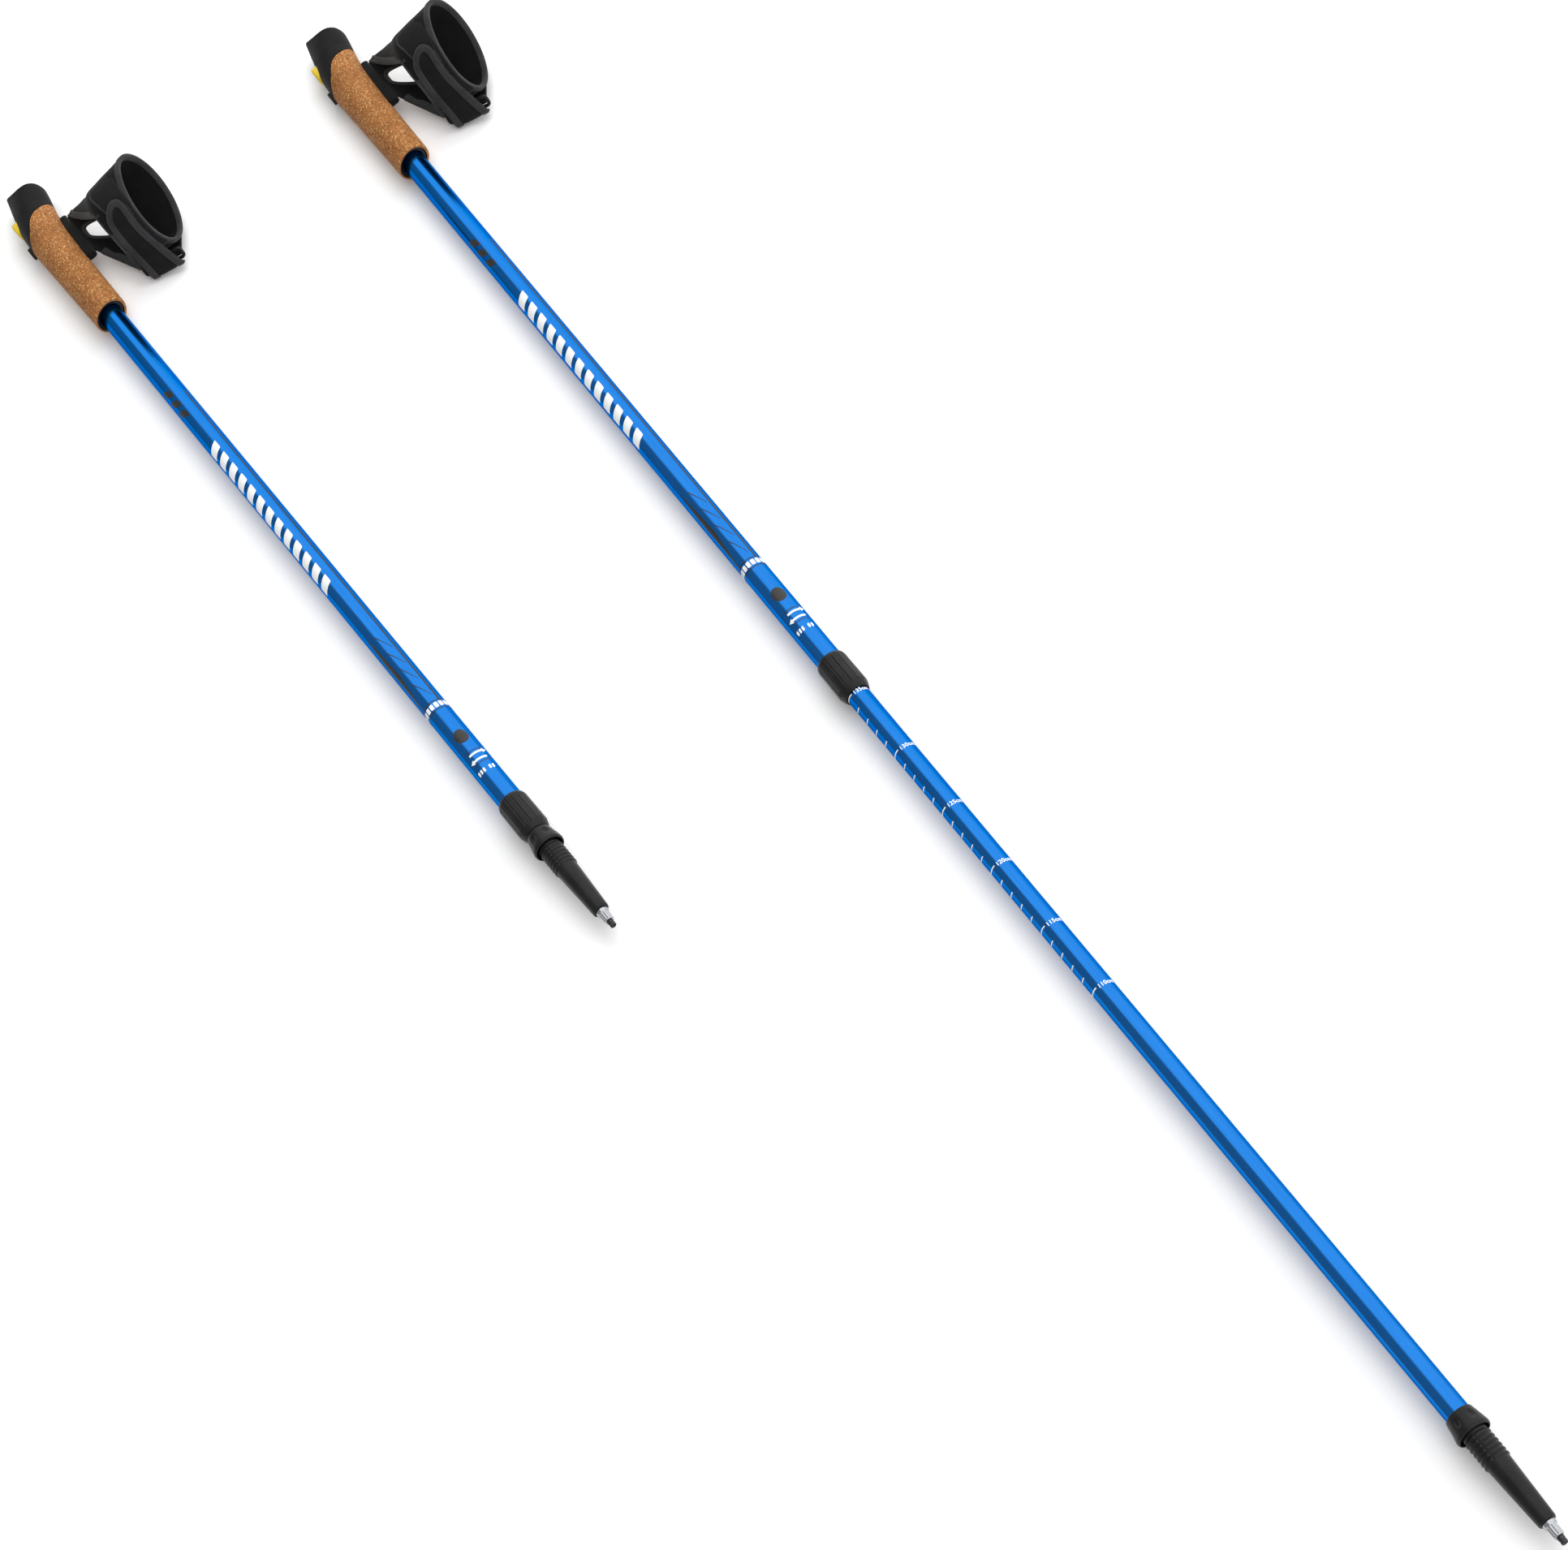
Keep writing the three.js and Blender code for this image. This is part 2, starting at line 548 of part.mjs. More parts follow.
// ---------------------------------------------------------------- assembly
// The pieces of one pole. Those below the upper tube are drawn pulled out to full length, and
// pushedIn moves them up the shaft.
function pole(prefix, pushedIn) {
  const whole = solid(loft(GRIP_SECTIONS.map(gripRing)));
  const upper = [
    ['grip_head', gripHead(whole), LOOKS.plastic],
    ['cork_grip', corkGrip(whole), LOOKS.cork],
    ['grip_core', gripCore(), LOOKS.plastic],
    ['release_button', releaseButton(), LOOKS.yellow],
    ['button_spring', buttonSpring(), LOOKS.steel],
    ['strap_latch', latch(), LOOKS.nylon],
    ['strap_clip', strapClip(), LOOKS.plastic],
    ['palm_strap', palmStrap(), LOOKS.webbing],
    ['wrist_cuff', wristCuff(), LOOKS.webbing],
    ['closure_tab', closureTab(), LOOKS.webbing],
    ['closure_web', closureWeb(), LOOKS.webbing],
    ['strap_loop', strapLoop(), LOOKS.plastic],
    ['upper_tube', upperTube(), LOOKS.blue],
    ['lock_collar', lockCollar(), LOOKS.plastic],
  ];
  const lower = [
    ['expander_sleeve', expanderSleeve(), LOOKS.nylon],
    ['expander_cone', expanderCone(), LOOKS.nylon],
    ['end_stop', endStop(), LOOKS.steel],
    ['lock_spindle', lockSpindle(), LOOKS.steel],
    ['tube_plug', tubePlug(), LOOKS.plastic],
    ['lower_tube', lowerTube(), LOOKS.blue],
    ['tip_collar', tipCollar(), LOOKS.plastic],
    ['tip_body', tipBody(), LOOKS.plastic],
    ['tip_ferrule', tipFerrule(), LOOKS.steel],
    ['carbide_tip', carbideTip(), LOOKS.carbide],
  ];
  const assembled = new THREE.Group();
  for (const [list, shift] of [[upper, 0], [lower, pushedIn]]) {
    for (const [name, shape, look] of list) {
      const geometry = shape instanceof THREE.BufferGeometry ? shape : geometryOf(shape);
      const mesh = piece(`${prefix}_${name}`, geometry, look);
      mesh.position.set(0, shift, 0);
      assembled.add(mesh);
    }
  }
  return assembled;
}

const longPole = pole('long', 0);
const shortPole = pole('short', SHAFT_TRAVEL);
shortPole.position.set(-PAIR_SPACING, PAIR_SHIFT, 0);
shortPole.rotation.z = PAIR_YAW;

// The pair lies on the floor with the origin under the middle of its box.
const pair = new THREE.Group();
pair.add(longPole, shortPole);
const box = new THREE.Box3().setFromObject(pair, true);
const middle = box.getCenter(V(0, 0, 0));
pair.position.set(-middle.x, -middle.y, -box.min.z);

const group = new THREE.Group();
group.add(pair);
export default group;
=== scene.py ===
import json
import math

import bmesh
import bpy
import numpy as np
from mathutils import Matrix, Vector, noise


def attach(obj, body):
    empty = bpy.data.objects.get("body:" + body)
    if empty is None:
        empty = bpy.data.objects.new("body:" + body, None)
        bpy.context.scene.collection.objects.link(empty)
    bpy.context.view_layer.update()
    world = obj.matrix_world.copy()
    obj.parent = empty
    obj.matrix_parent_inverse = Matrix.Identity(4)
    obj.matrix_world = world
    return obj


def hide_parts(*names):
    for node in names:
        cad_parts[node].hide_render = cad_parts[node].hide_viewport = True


# Looks of a pair of trekking poles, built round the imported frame. Each pole is drawn in its own
# frame, in millimetres: y is the station along the shaft, 0 at the lock collar's lower rim and
# rising to the grip, x points to the grip's rear, where the strap leaves it, and z is up.
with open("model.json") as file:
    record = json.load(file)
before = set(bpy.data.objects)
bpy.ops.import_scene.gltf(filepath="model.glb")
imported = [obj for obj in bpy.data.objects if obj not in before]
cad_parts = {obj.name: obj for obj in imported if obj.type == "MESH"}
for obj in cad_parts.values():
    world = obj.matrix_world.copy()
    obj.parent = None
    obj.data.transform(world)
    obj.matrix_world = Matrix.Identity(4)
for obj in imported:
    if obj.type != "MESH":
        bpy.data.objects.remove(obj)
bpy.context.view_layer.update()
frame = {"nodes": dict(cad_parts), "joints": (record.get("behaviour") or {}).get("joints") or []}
JOINTS = {j["name"]: j for j in frame["joints"]}
MM = 0.001
WAVE = 0.32  # a wave texture's scale times its period, about pi / 10

# ------------------------------------------------------------------ driving dimensions
UPPER_R, LOWER_R, WALL = 8.0, 7.0, 0.65
UPPER_FOOT, UPPER_TOP = 4.2, 634.0
LOWER_FOOT, LOWER_TOP = -577.0, 25.0
SCALE_TOP, SCALE_LOW = 135, 110  # centimetre marks on the lower tube, 135 at station 0

CORE_R = 10.7
CORK_END, CORK_SLANT = 550.8, 0.2
# Outside of the grip: station, front x, rear x, half thickness.
GRIP_SECTIONS = np.array([
    [540, -11.9, 12.7, 12.4], [575, -12.6, 12.9, 12.8], [610, -13.3, 13.1, 13.3],
    [640, -14.0, 14.1, 13.5], [660, -13.3, 15.7, 13.2], [680, -9.7, 19.3, 12.2],
    [692, -7.2, 20.6, 11.0], [706, -4.2, 21.4, 9.4]])
# Line between cork and moulded head, front to rear, and the head's top line: x, station.
CORK_TOP = np.array([
    [-30, 639.5], [-14.7, 640], [-12, 643.5], [-9.3, 647], [-5.4, 651.5], [-2, 656.4],
    [0.7, 659.6], [4.6, 662], [9.6, 664], [16, 666.5], [30, 667]])
HEAD_TOP = np.array([
    [-30, 702], [-4.4, 702], [-2, 698.6], [1, 695.3], [4, 693.2], [8, 691.6], [13, 690.2],
    [17, 688.6], [19.6, 686], [21, 682], [30, 680]])
TONGUE = {"low": 639.6, "high": 649.6, "front": -15.9, "half": 2.0}
ROOT = {"x": 15.6, "depth": 4, "low": 607, "high": 650.5, "half": 2.4}
ROOT_LINE_X = 20.8
BUTTON = {"y": 670, "half": 7.5, "side": 5.4, "face": -14.2, "back": -4.5}
STEM = {"low": 666.8, "high": 671.2, "half": 2.2}
SLIT = {"at": (-8.6, 674.4, 7.5), "half": (0.45, 2.9, 3.4), "lean": -0.785}

AXIS_HEIGHT = 13.5
RIM_CENTRE = np.array([72, 589, 36 - AXIS_HEIGHT])
BACK_CENTRE = np.array([41, 594, 27 - AXIS_HEIGHT])
CUFF_LONG = np.array([-4.1, -21.7, -23.3])
CUFF_SHORT = np.array([12.6, 11.3, -12.7])
BACK_LONG, BACK_SHORT = 0.9, 0.55  # the cuff's back ring against its rim
FABRIC = 2.4
BAR = np.array([50, 561.0, 6.0 - AXIS_HEIGHT])
BAND_HALF = 12.5
FOLD_R = 3.4
LOOP = {"half": 15.3, "rise": 7, "wire": 1.2, "lean": 23}
ROOT_TOP = np.array([ROOT_LINE_X, ROOT["high"], 0.0])
ROOT_LOW = np.array([ROOT_LINE_X, ROOT["low"], 0.0])
PALM_TURNS = (178.0, 12.0)  # where the palm sheet's upper and lower edges meet the cuff
GLOVE_TURNS = PALM_TURNS[1] + np.arange(200) * 1.8
# Hand opening on the near wall: turn and how far over the cuff it starts.
HAND_EDGE = np.array([[236, -0.08], [262, 0.0], [288, 0.1], [316, 0.06], [340, -0.02],
                      [356, -0.08]])
# Thumb hole: its middle and its half sizes, in rows and columns of the glove's grid.
HOLE = {"row": 16.3, "rows": 9.7, "column": 46.0, "columns": 11.5}
BULGE = {"out": 3.4, "turn": 204, "spread": 30}  # of the near wall, beside the upper fold
NOSE, TAPE = 0.7, 0.4  # how far a binding reaches past an edge, and its own thickness

TIP_TOP, COLLAR_RIM = -565, -577
RIBS, RIBS_LOW, RIB_PITCH = 6, -597, 2.93
BODY_END, FERRULE_END, TIP_END = -635.6, -644.6, -649


class Pole:
    """One pole: its own frame in the world, and how far its shaft is pushed in at rest."""

    def __init__(self, name):
        self.name = name
        twist = JOINTS[f"{name}_shaft_twist"]
        x = Vector(JOINTS[f"{name}_strap_release"]["axis"]).normalized()
        y = Vector(twist["axis"]).normalized()
        turn = Matrix((x, y, x.cross(y))).transposed().to_4x4()
        self.matrix = Matrix.Translation(twist["pos_m"]) @ turn
        slide = JOINTS[f"{name}_shaft_slide"]
        pulls_out = Vector(slide["axis"]).dot(y) < 0
        self.pushed_in = slide["range_m"][1] / MM if pulls_out else 0.0


# ------------------------------------------------------------------ materials
class Paint:
    """A small builder of node materials. Lengths in its textures are millimetres."""

    def __init__(self, name, roughness, metallic=0.0, specular=0.5):
        self.material = bpy.data.materials.new(name)
        self.material.use_nodes = True
        self.nodes = self.material.node_tree.nodes
        self.links = self.material.node_tree.links
        self.shader = self.nodes["Principled BSDF"]
        self.shader.inputs["Roughness"].default_value = roughness
        self.shader.inputs["Metallic"].default_value = metallic
        self.shader.inputs["Specular IOR Level"].default_value = specular
        self.place = self.node("TexCoord", "Object")

    def node(self, kind, output, inputs=(), **settings):
        """One output of a new node, with its settings made and its inputs set or linked."""
        node = self.nodes.new("ShaderNode" + kind)
        for name, value in settings.items():
            setattr(node, name, value)
        for name, value in dict(inputs).items():
            socket = node.inputs[name]
            if isinstance(value, bpy.types.NodeSocket):
                self.links.new(value, socket)
            elif socket.type == "RGBA":
                socket.default_value = (*value, 1)
            else:
                socket.default_value = value
        return node.outputs[output]

    def scaled(self, size, stretch=(1, 1, 1)):
        scale = tuple(1 / (size * s) / MM for s in stretch)
        return self.node("Mapping", "Vector", {"Vector": self.place, "Scale": scale})

    def noise(self, size, detail=3.0, stretch=(1, 1, 1), roughness=0.55):
        return self.node("TexNoise", "Fac", {"Vector": self.scaled(size, stretch), "Scale": 1.0,
                                             "Detail": detail, "Roughness": roughness})

    def cells(self, size, feature="F1", stretch=(1, 1, 1)):
        return self.node("TexVoronoi", "Distance",
                         {"Vector": self.scaled(size, stretch), "Scale": 1.0}, feature=feature)

    def ribs(self, size, direction):
        """Soft waves this far apart, which run across the direction."""
        return self.node("TexWave", "Fac", {"Vector": self.scaled(size / WAVE), "Scale": 1.0,
                                            "Distortion": 0.6, "Detail": 1.0},
                         bands_direction=direction)

    def math(self, operation, a, b):
        return self.node("Math", "Value", {0: a, 1: b}, operation=operation)

    def ramp(self, factor, stops):
        output = self.node("ValToRGB", "Color", {"Fac": factor})
        elements = output.node.color_ramp.elements
        while len(elements) < len(stops):
            elements.new(0.5)
        for element, (position, colour) in zip(elements, stops):
            element.position = position
            element.color = (*colour, 1)
        return output

    def mix(self, factor, a, b, blend="MIX"):
        return self.node("Mix", "Result", {"Factor": factor, "A": a, "B": b},
                         data_type="RGBA", blend_type=blend)

    def colour(self, value):
        self.links.new(value, self.shader.inputs["Base Color"])

    def roughness(self, factor, low, high):
        ranged = self.node("MapRange", "Result", {"To Min": low, "To Max": high, "Value": factor})
        self.links.new(ranged, self.shader.inputs["Roughness"])

    def bump(self, height, depth, strength):
        normal = self.node("Bump", "Normal", {"Strength": strength, "Distance": depth * MM,
                                              "Height": height})
        self.links.new(normal, self.shader.inputs["Normal"])

    def edges(self):
        return self.node("NewGeometry", "Pointiness")


def moulded(name, dark, light, roughness=0.5, grain=0.35, depth=0.03, edge_highlight=None, specular=0.2):
    """Moulded plastic: fine spark grain, faint clouds of tone and a painted highlight along its
    convex edges.
    """
    paint = Paint(name, roughness, specular=specular)
    clouds = paint.noise(9, 4)
    tone = paint.ramp(clouds, [(0.3, dark), (0.75, light)])
    # A lighter colour laid on the convex edges, found by pointiness: a painted highlight where the
    # edges catch the light.
    if edge_highlight:
        edge_highlight_mask = paint.ramp(paint.edges(), [(0.52, (0, 0, 0)), (0.6, (1, 1, 1))])
        tone = paint.mix(edge_highlight_mask, tone, edge_highlight)
    paint.colour(tone)
    fine = paint.cells(grain)
    paint.roughness(paint.noise(3, 5), roughness - 0.07, roughness + 0.1)
    paint.bump(fine, depth, 0.5)
    return paint.material


def cork():
    """Pressed cork: soft granules of several browns, many pale flecks and small dark pits."""
    paint = Paint("cork", 0.78, specular=0.25)
    granule = paint.noise(1.3, 5, (1, 1.4, 1), 0.6)
    tone = paint.ramp(granule, [(0.32, (0.21, 0.072, 0.018)), (0.47, (0.31, 0.114, 0.031)),
                                (0.62, (0.4, 0.16, 0.046))])
    clouds = paint.ramp(paint.noise(13, 4), [(0.3, (0.66, 0.6, 0.55)), (0.7, (1.08, 1.1, 1.12))])
    tone = paint.mix(0.8, tone, clouds, "MULTIPLY")
    for size, patch_size, pale in ((1.25, 2.3, (0.64, 0.42, 0.17)), (0.75, 1.4, (0.53, 0.32, 0.11))):
        dots = paint.ramp(paint.cells(size, stretch=(1, 1.35, 1)),
                          [(0.2, (1, 1, 1)), (0.4, (0, 0, 0))])
        patch = paint.ramp(paint.noise(patch_size, 3), [(0.46, (0, 0, 0)), (0.56, (1, 1, 1))])
        tone = paint.mix(paint.mix(1.0, dots, patch, "MULTIPLY"), tone, pale)
    pit = paint.ramp(paint.cells(2.0, stretch=(1, 1.4, 1)),
                     [(0.08, (1, 1, 1)), (0.2, (0, 0, 0))])
    tone = paint.mix(pit, tone, (0.15, 0.055, 0.02))
    paint.colour(tone)
    paint.roughness(paint.noise(2, 3), 0.62, 0.9)
    seams = paint.cells(1.5, "DISTANCE_TO_EDGE", stretch=(1, 1.3, 1))
    height = paint.math("ADD", paint.math("MINIMUM", seams, 0.12), paint.noise(0.5, 4))
    paint.bump(paint.math("SUBTRACT", height, pit), 0.16, 0.7)
    return paint.material


def woven(name, dark, light, thread=0.42, roughness=0.85, depth=0.06, fuzz=0.06):
    """Close weave of the strap: crossed ribs, a soft sheen and slightly faded patches."""
    paint = Paint(name, roughness, specular=0.12)
    warp = paint.math("MULTIPLY", paint.ribs(thread, "X"), paint.ribs(thread, "Y"))
    weave = paint.math("ADD", warp, paint.ribs(thread, "Z"))
    faded = paint.ramp(paint.noise(16, 5), [(0.3, dark), (0.72, light)])
    thread_tone = paint.ramp(weave, [(0.2, (0.55, 0.55, 0.55)), (0.9, (1.12, 1.12, 1.12))])
    paint.colour(paint.mix(0.55, faded, thread_tone, "MULTIPLY"))
    paint.roughness(paint.noise(6, 3), roughness - 0.1, roughness + 0.08)
    paint.shader.inputs["Sheen Weight"].default_value = fuzz
    paint.shader.inputs["Sheen Roughness"].default_value = 0.5
    paint.bump(weave, depth, 0.7)
    return paint.material


def brushed_loop():
    """Soft side of the touch fastening: short random pile."""
    paint = Paint("loop_pile", 0.95, specular=0.1)
    pile = paint.noise(0.45, 6, roughness=0.75)
    paint.colour(paint.ramp(pile, [(0.35, (0.004, 0.004, 0.0045)), (0.7, (0.02, 0.02, 0.022))]))
    paint.shader.inputs["Sheen Weight"].default_value = 0.1
    paint.bump(pile, 0.4, 0.8)
    return paint.material


def anodised():
    """Blue anodised tube: drawn-metal streaks along it and faint handling marks."""
    paint = Paint("blue_anodised", 0.2, metallic=1.0)
    paint.shader.inputs["Specular Tint"].default_value = (0.09, 0.4, 0.74, 1)
    streaks = paint.noise(0.6, 3, stretch=(1, 90, 1))
    clouds = paint.noise(26, 3, stretch=(1, 3, 1))
    tone = paint.ramp(streaks, [(0.3, (0.017, 0.16, 0.52)), (0.7, (0.021, 0.186, 0.58))])
    marks = paint.ramp(clouds, [(0.3, (0.93, 0.94, 0.96)), (0.7, (1, 1, 1))])
    paint.colour(paint.mix(0.6, tone, marks, "MULTIPLY"))
    scuffs = paint.noise(4, 6, stretch=(1, 8, 1), roughness=0.7)
    paint.roughness(scuffs, 0.13, 0.27)
    paint.bump(streaks, 0.012, 0.35)
    return paint.material


def ink(name, colour, thin):
    """Printed ink: even, a little glossy, thin in tiny specks."""
    paint = Paint(name, 0.45)
    specks = paint.ramp(paint.noise(0.7, 5, roughness=0.7), [(0.3, thin), (0.38, colour)])
    paint.colour(specks)
    paint.roughness(paint.noise(1.5, 3), 0.38, 0.55)
    paint.bump(paint.noise(0.3, 2), 0.01, 0.3)
    return paint.material


def metal(name, dark, light, roughness, streak=(1, 1, 1)):
    """Bare metal with a fine grain."""
    paint = Paint(name, roughness, metallic=1.0)
    grain = paint.noise(0.5, 5, stretch=streak, roughness=0.65)
    paint.colour(paint.ramp(grain, [(0.25, dark), (0.7, light)]))
    paint.roughness(paint.noise(0.9, 4), roughness * 0.6, roughness * 1.5)
    paint.bump(grain, 0.015, 0.4)
    return paint.material


# The lighter colour each moulded plastic is given for its convex edges is a painted edge highlight.
MATERIALS = {
    "head": moulded("grip_rubber", (0.005, 0.005, 0.0053), (0.009, 0.009, 0.0093), 0.6,
                    edge_highlight=(0.02, 0.02, 0.02), specular=0.13),
    "cork": cork(),
    "black": moulded("black_plastic", (0.002, 0.002, 0.0022), (0.005, 0.005, 0.0053), 0.4,
                     edge_highlight=(0.015, 0.015, 0.015)),
    "yellow": moulded("yellow_plastic", (0.6, 0.42, 0.004), (0.7, 0.5, 0.008), 0.38, 0.5,
                      0.02, edge_highlight=(0.8, 0.62, 0.05), specular=0.4),
    "fabric": woven("strap_fabric", (0.004, 0.004, 0.0043), (0.0105, 0.0105, 0.011)),
    "lining": woven("strap_lining", (0.0012, 0.0012, 0.0014), (0.003, 0.003, 0.0033), 0.5),
    "binding": woven("binding_tape", (0.019, 0.019, 0.02), (0.042, 0.042, 0.044), 0.36,
                     0.75, 0.05, 0.12),
    "thread": woven("stitch_thread", (0.02, 0.02, 0.021), (0.04, 0.04, 0.042), 0.2, 0.6, 0.03),
    "pile": brushed_loop(),
    "blue": anodised(),
    "white_ink": ink("white_ink", (0.86, 0.87, 0.86), (0.6, 0.66, 0.74)),
    "black_ink": ink("black_ink", (0.012, 0.012, 0.012), (0.02, 0.03, 0.07)),
    "collar": moulded("collar_plastic", (0.007, 0.007, 0.0073), (0.014, 0.014, 0.0145), 0.34,
                      edge_highlight=(0.05, 0.05, 0.05)),
    "tip": moulded("tip_plastic", (0.0065, 0.0065, 0.0068), (0.013, 0.013, 0.0135), 0.32, 0.4,
                   0.02, edge_highlight=(0.045, 0.045, 0.045)),
    "chrome": metal("ferrule_chrome", (0.34, 0.35, 0.37), (0.5, 0.51, 0.53), 0.14),
    "carbide": metal("carbide", (0.02, 0.02, 0.022), (0.09, 0.09, 0.095), 0.4),
    "steel": metal("steel", (0.42, 0.43, 0.45), (0.6, 0.61, 0.63), 0.25, (1, 12, 1)),
    "nylon": moulded("nylon", (0.62, 0.61, 0.57), (0.72, 0.71, 0.68), 0.45),
}


# ------------------------------------------------------------------ mesh building
def circle(count):
    """Angles of this many points round a circle."""
    return np.linspace(0, 2 * math.pi, count, endpoint=False)


GRIP_ANGLES, RING = circle(128), circle(12)


def piece(pole, name, shape, material, body, replaces=(), shift=0.0, crease=32):
    """Makes one visible piece from a shape, which is points in the pole's frame and faces."""
    verts, faces = shape
    mesh = bpy.data.meshes.new(f"{pole.name}_{name}")
    mesh.from_pydata((np.asarray(verts, float) * MM).tolist(), [], [list(f) for f in faces])
    work = bmesh.new()
    work.from_mesh(mesh)
    bmesh.ops.remove_doubles(work, verts=work.verts, dist=1e-7)
    bmesh.ops.recalc_face_normals(work, faces=work.faces)
    work.to_mesh(mesh)
    work.free()
    return placed(pole, name, mesh, material, body, replaces, shift, crease)


def placed(pole, name, mesh, material, body, replaces=(), shift=0.0, crease=32):
    """Shades a mesh, puts it in its pole's frame and fastens it to its body."""
    mesh.polygons.foreach_set("use_smooth", [True] * len(mesh.polygons))
    mesh.set_sharp_from_angle(angle=math.radians(crease))
    mesh.materials.clear()
    mesh.materials.append(MATERIALS[material])
    obj = bpy.data.objects.new(f"{pole.name}-{name}", mesh)
    bpy.context.scene.collection.objects.link(obj)
    obj.matrix_world = pole.matrix @ Matrix.Translation((0, shift * MM, 0))
    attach(obj, f"{pole.name}_{body}")
    if replaces:
        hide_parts(*[f"{pole.name}_{node}" for node in replaces])
    return obj


def loft(rings, closed=False):
    """Points and faces of a skin through rings of equal count, capped unless it closes."""
    rings = np.asarray(rings, float)
    count, size = rings.shape[:2]
    faces = []
    for r in range(count if closed else count - 1):
        n = (r + 1) % count
        for i in range(size):
            j = (i + 1) % size
            faces.append((r * size + i, r * size + j, n * size + j, n * size + i))
    if not closed:
        faces.append(tuple(range(size)))
        faces.append(tuple((count - 1) * size + i for i in reversed(range(size))))
    return rings.reshape(-1, 3), faces


def rounded(points, radius, steps=4, closed=False):
    """An outline with each corner turned into a short curve."""
    points = [np.asarray(p, float) for p in points]
    out = []
    for i, p in enumerate(points):
        if not closed and i in (0, len(points) - 1):
            out.append(p)
            continue
        before, after = points[i - 1] - p, points[(i + 1) % len(points)] - p
        a = p + before * min(radius / np.linalg.norm(before), 0.45)
        b = p + after * min(radius / np.linalg.norm(after), 0.45)
        for t in np.linspace(0, 1, steps + 1):
            out.append((1 - t) ** 2 * a + 2 * t * (1 - t) * p + t * t * b)
    return np.array(out)


def turned(profile, sides=72, shape=None):
    """A closed turned solid about y: profile is a closed outline of (radius, y), and shape
    may change a radius by its station and angle."""
    angles = circle(sides)
    rings = []
    for radius, y in profile:
        r = np.full(sides, radius) if shape is None else shape(radius, y, angles)
        rings.append(np.stack([r * np.cos(angles), np.full(sides, y), r * np.sin(angles)], 1))
    return loft(rings, closed=True)


def box(lo, hi, radius, segments=3):
    """Points and faces of a box with rounded edges."""
    work = bmesh.new()
    bmesh.ops.create_cube(work, size=1)
    lo, hi = np.array(lo, float), np.array(hi, float)
    for v in work.verts:
        v.co = Vector((lo + hi) / 2 + np.array(v.co) * (hi - lo))
    bmesh.ops.bevel(work, geom=list(work.edges), offset=radius, segments=segments,
                    affect="EDGES", profile=0.5)
    work.verts.index_update()
    shape = [tuple(v.co) for v in work.verts], [[v.index for v in f.verts] for f in work.faces]
    work.free()
    return shape


def smooth(x):
    """A soft step: 0 below 0, 1 above 1."""
    x = np.clip(x, 0, 1)
    return x * x * (3 - 2 * x)


def divided(outline, steps, shortest, least_radius):
    """An outline of (radius, y) with its long outer sides divided, for turned's shape."""
    points = []
    for start, end in zip(outline, np.roll(outline, -1, axis=0)):
        long = np.linalg.norm(end - start) > shortest and start[0] > least_radius
        count = steps if long else 1
        points += [start + (end - start) * k / count for k in range(count)]
    return points


def joined(shapes):
    """Several shapes as one set of points and faces."""
    verts, faces = [], []
    for points, polygons in shapes:
        start = len(verts)
        verts += [tuple(p) for p in points]
        faces += [[start + i for i in f] for f in polygons]
    return verts, faces


def carved(base, tools, operation="DIFFERENCE"):
    """The base shape with the tools cut away or joined on, as a mesh in millimetres."""
    def temporary(shape):
        mesh = bpy.data.meshes.new("temporary")
        mesh.from_pydata([tuple(p) for p in shape[0]], [], [list(f) for f in shape[1]])
        work = bmesh.new()
        work.from_mesh(mesh)
        bmesh.ops.recalc_face_normals(work, faces=work.faces)
        work.to_mesh(mesh)
        work.free()
        obj = bpy.data.objects.new("temporary", mesh)
        bpy.context.scene.collection.objects.link(obj)
        return obj

    target = temporary(base)
    cutters = [temporary(t) for t in tools]
    for cutter in cutters:
        modifier = target.modifiers.new("cut", "BOOLEAN")
        modifier.operation = operation
        modifier.solver = "EXACT"
        modifier.object = cutter
    bpy.context.view_layer.update()
    graph = bpy.context.evaluated_depsgraph_get()
    mesh = bpy.data.meshes.new_from_object(target.evaluated_get(graph))
    verts = [tuple(v.co) for v in mesh.vertices]
    faces = [list(p.vertices) for p in mesh.polygons]
    for obj in [target, *cutters]:
        bpy.data.objects.remove(obj)
    return verts, faces


# ------------------------------------------------------------------ grip
def eased(table, at, spread=6):
    """A table's second column at these places, with its corners smoothed out."""
    offsets = np.linspace(-spread / 2, spread / 2, 7)
    return np.mean([np.interp(at + o, table[:, 0], table[:, 1]) for o in offsets], axis=0)


def grip_point(angle, y, inset=0.0):
    """A point of the grip's outside; inset moves it towards the middle. Near its top the
    section narrows towards the front into a beak."""
    front, rear, half = (eased(GRIP_SECTIONS[:, [0, i]], y, 10) for i in (1, 2, 3))
    middle, wide = (front + rear) / 2, (rear - front) / 2
    x = middle + (wide - inset) * np.cos(angle)
    beak = 1 + 0.42 * np.clip((y - 672) / 26, 0, 1) * np.cos(angle)
    return np.stack([x, y, (half - inset) * np.sin(angle) * beak], -1)


def crossing(table, angles, inset=0.0):
    """Station where the line in the table crosses the grip's outside, at each angle."""
    low, high = np.full(len(angles), 600.0), np.full(len(angles), 706.0)
    for _ in range(40):
        middle = (low + high) / 2
        x = grip_point(angles, middle, inset)[:, 0]
        above = middle > eased(table, x, 1.6)
        high = np.where(above, middle, high)
        low = np.where(above, low, middle)
    return (low + high) / 2


def cap_rings(edge, table, lift, count, centre_x):
    """Shrinking rings that close the grip at the line in the table."""
    rings = []
    for k in np.linspace(1, 0.02, count):
        x = centre_x + (edge[:, 0] - centre_x) * k
        z = edge[:, 2] * k
        rings.append(np.stack([x, eased(table, x, 1.6) + lift, z], 1))
    return rings


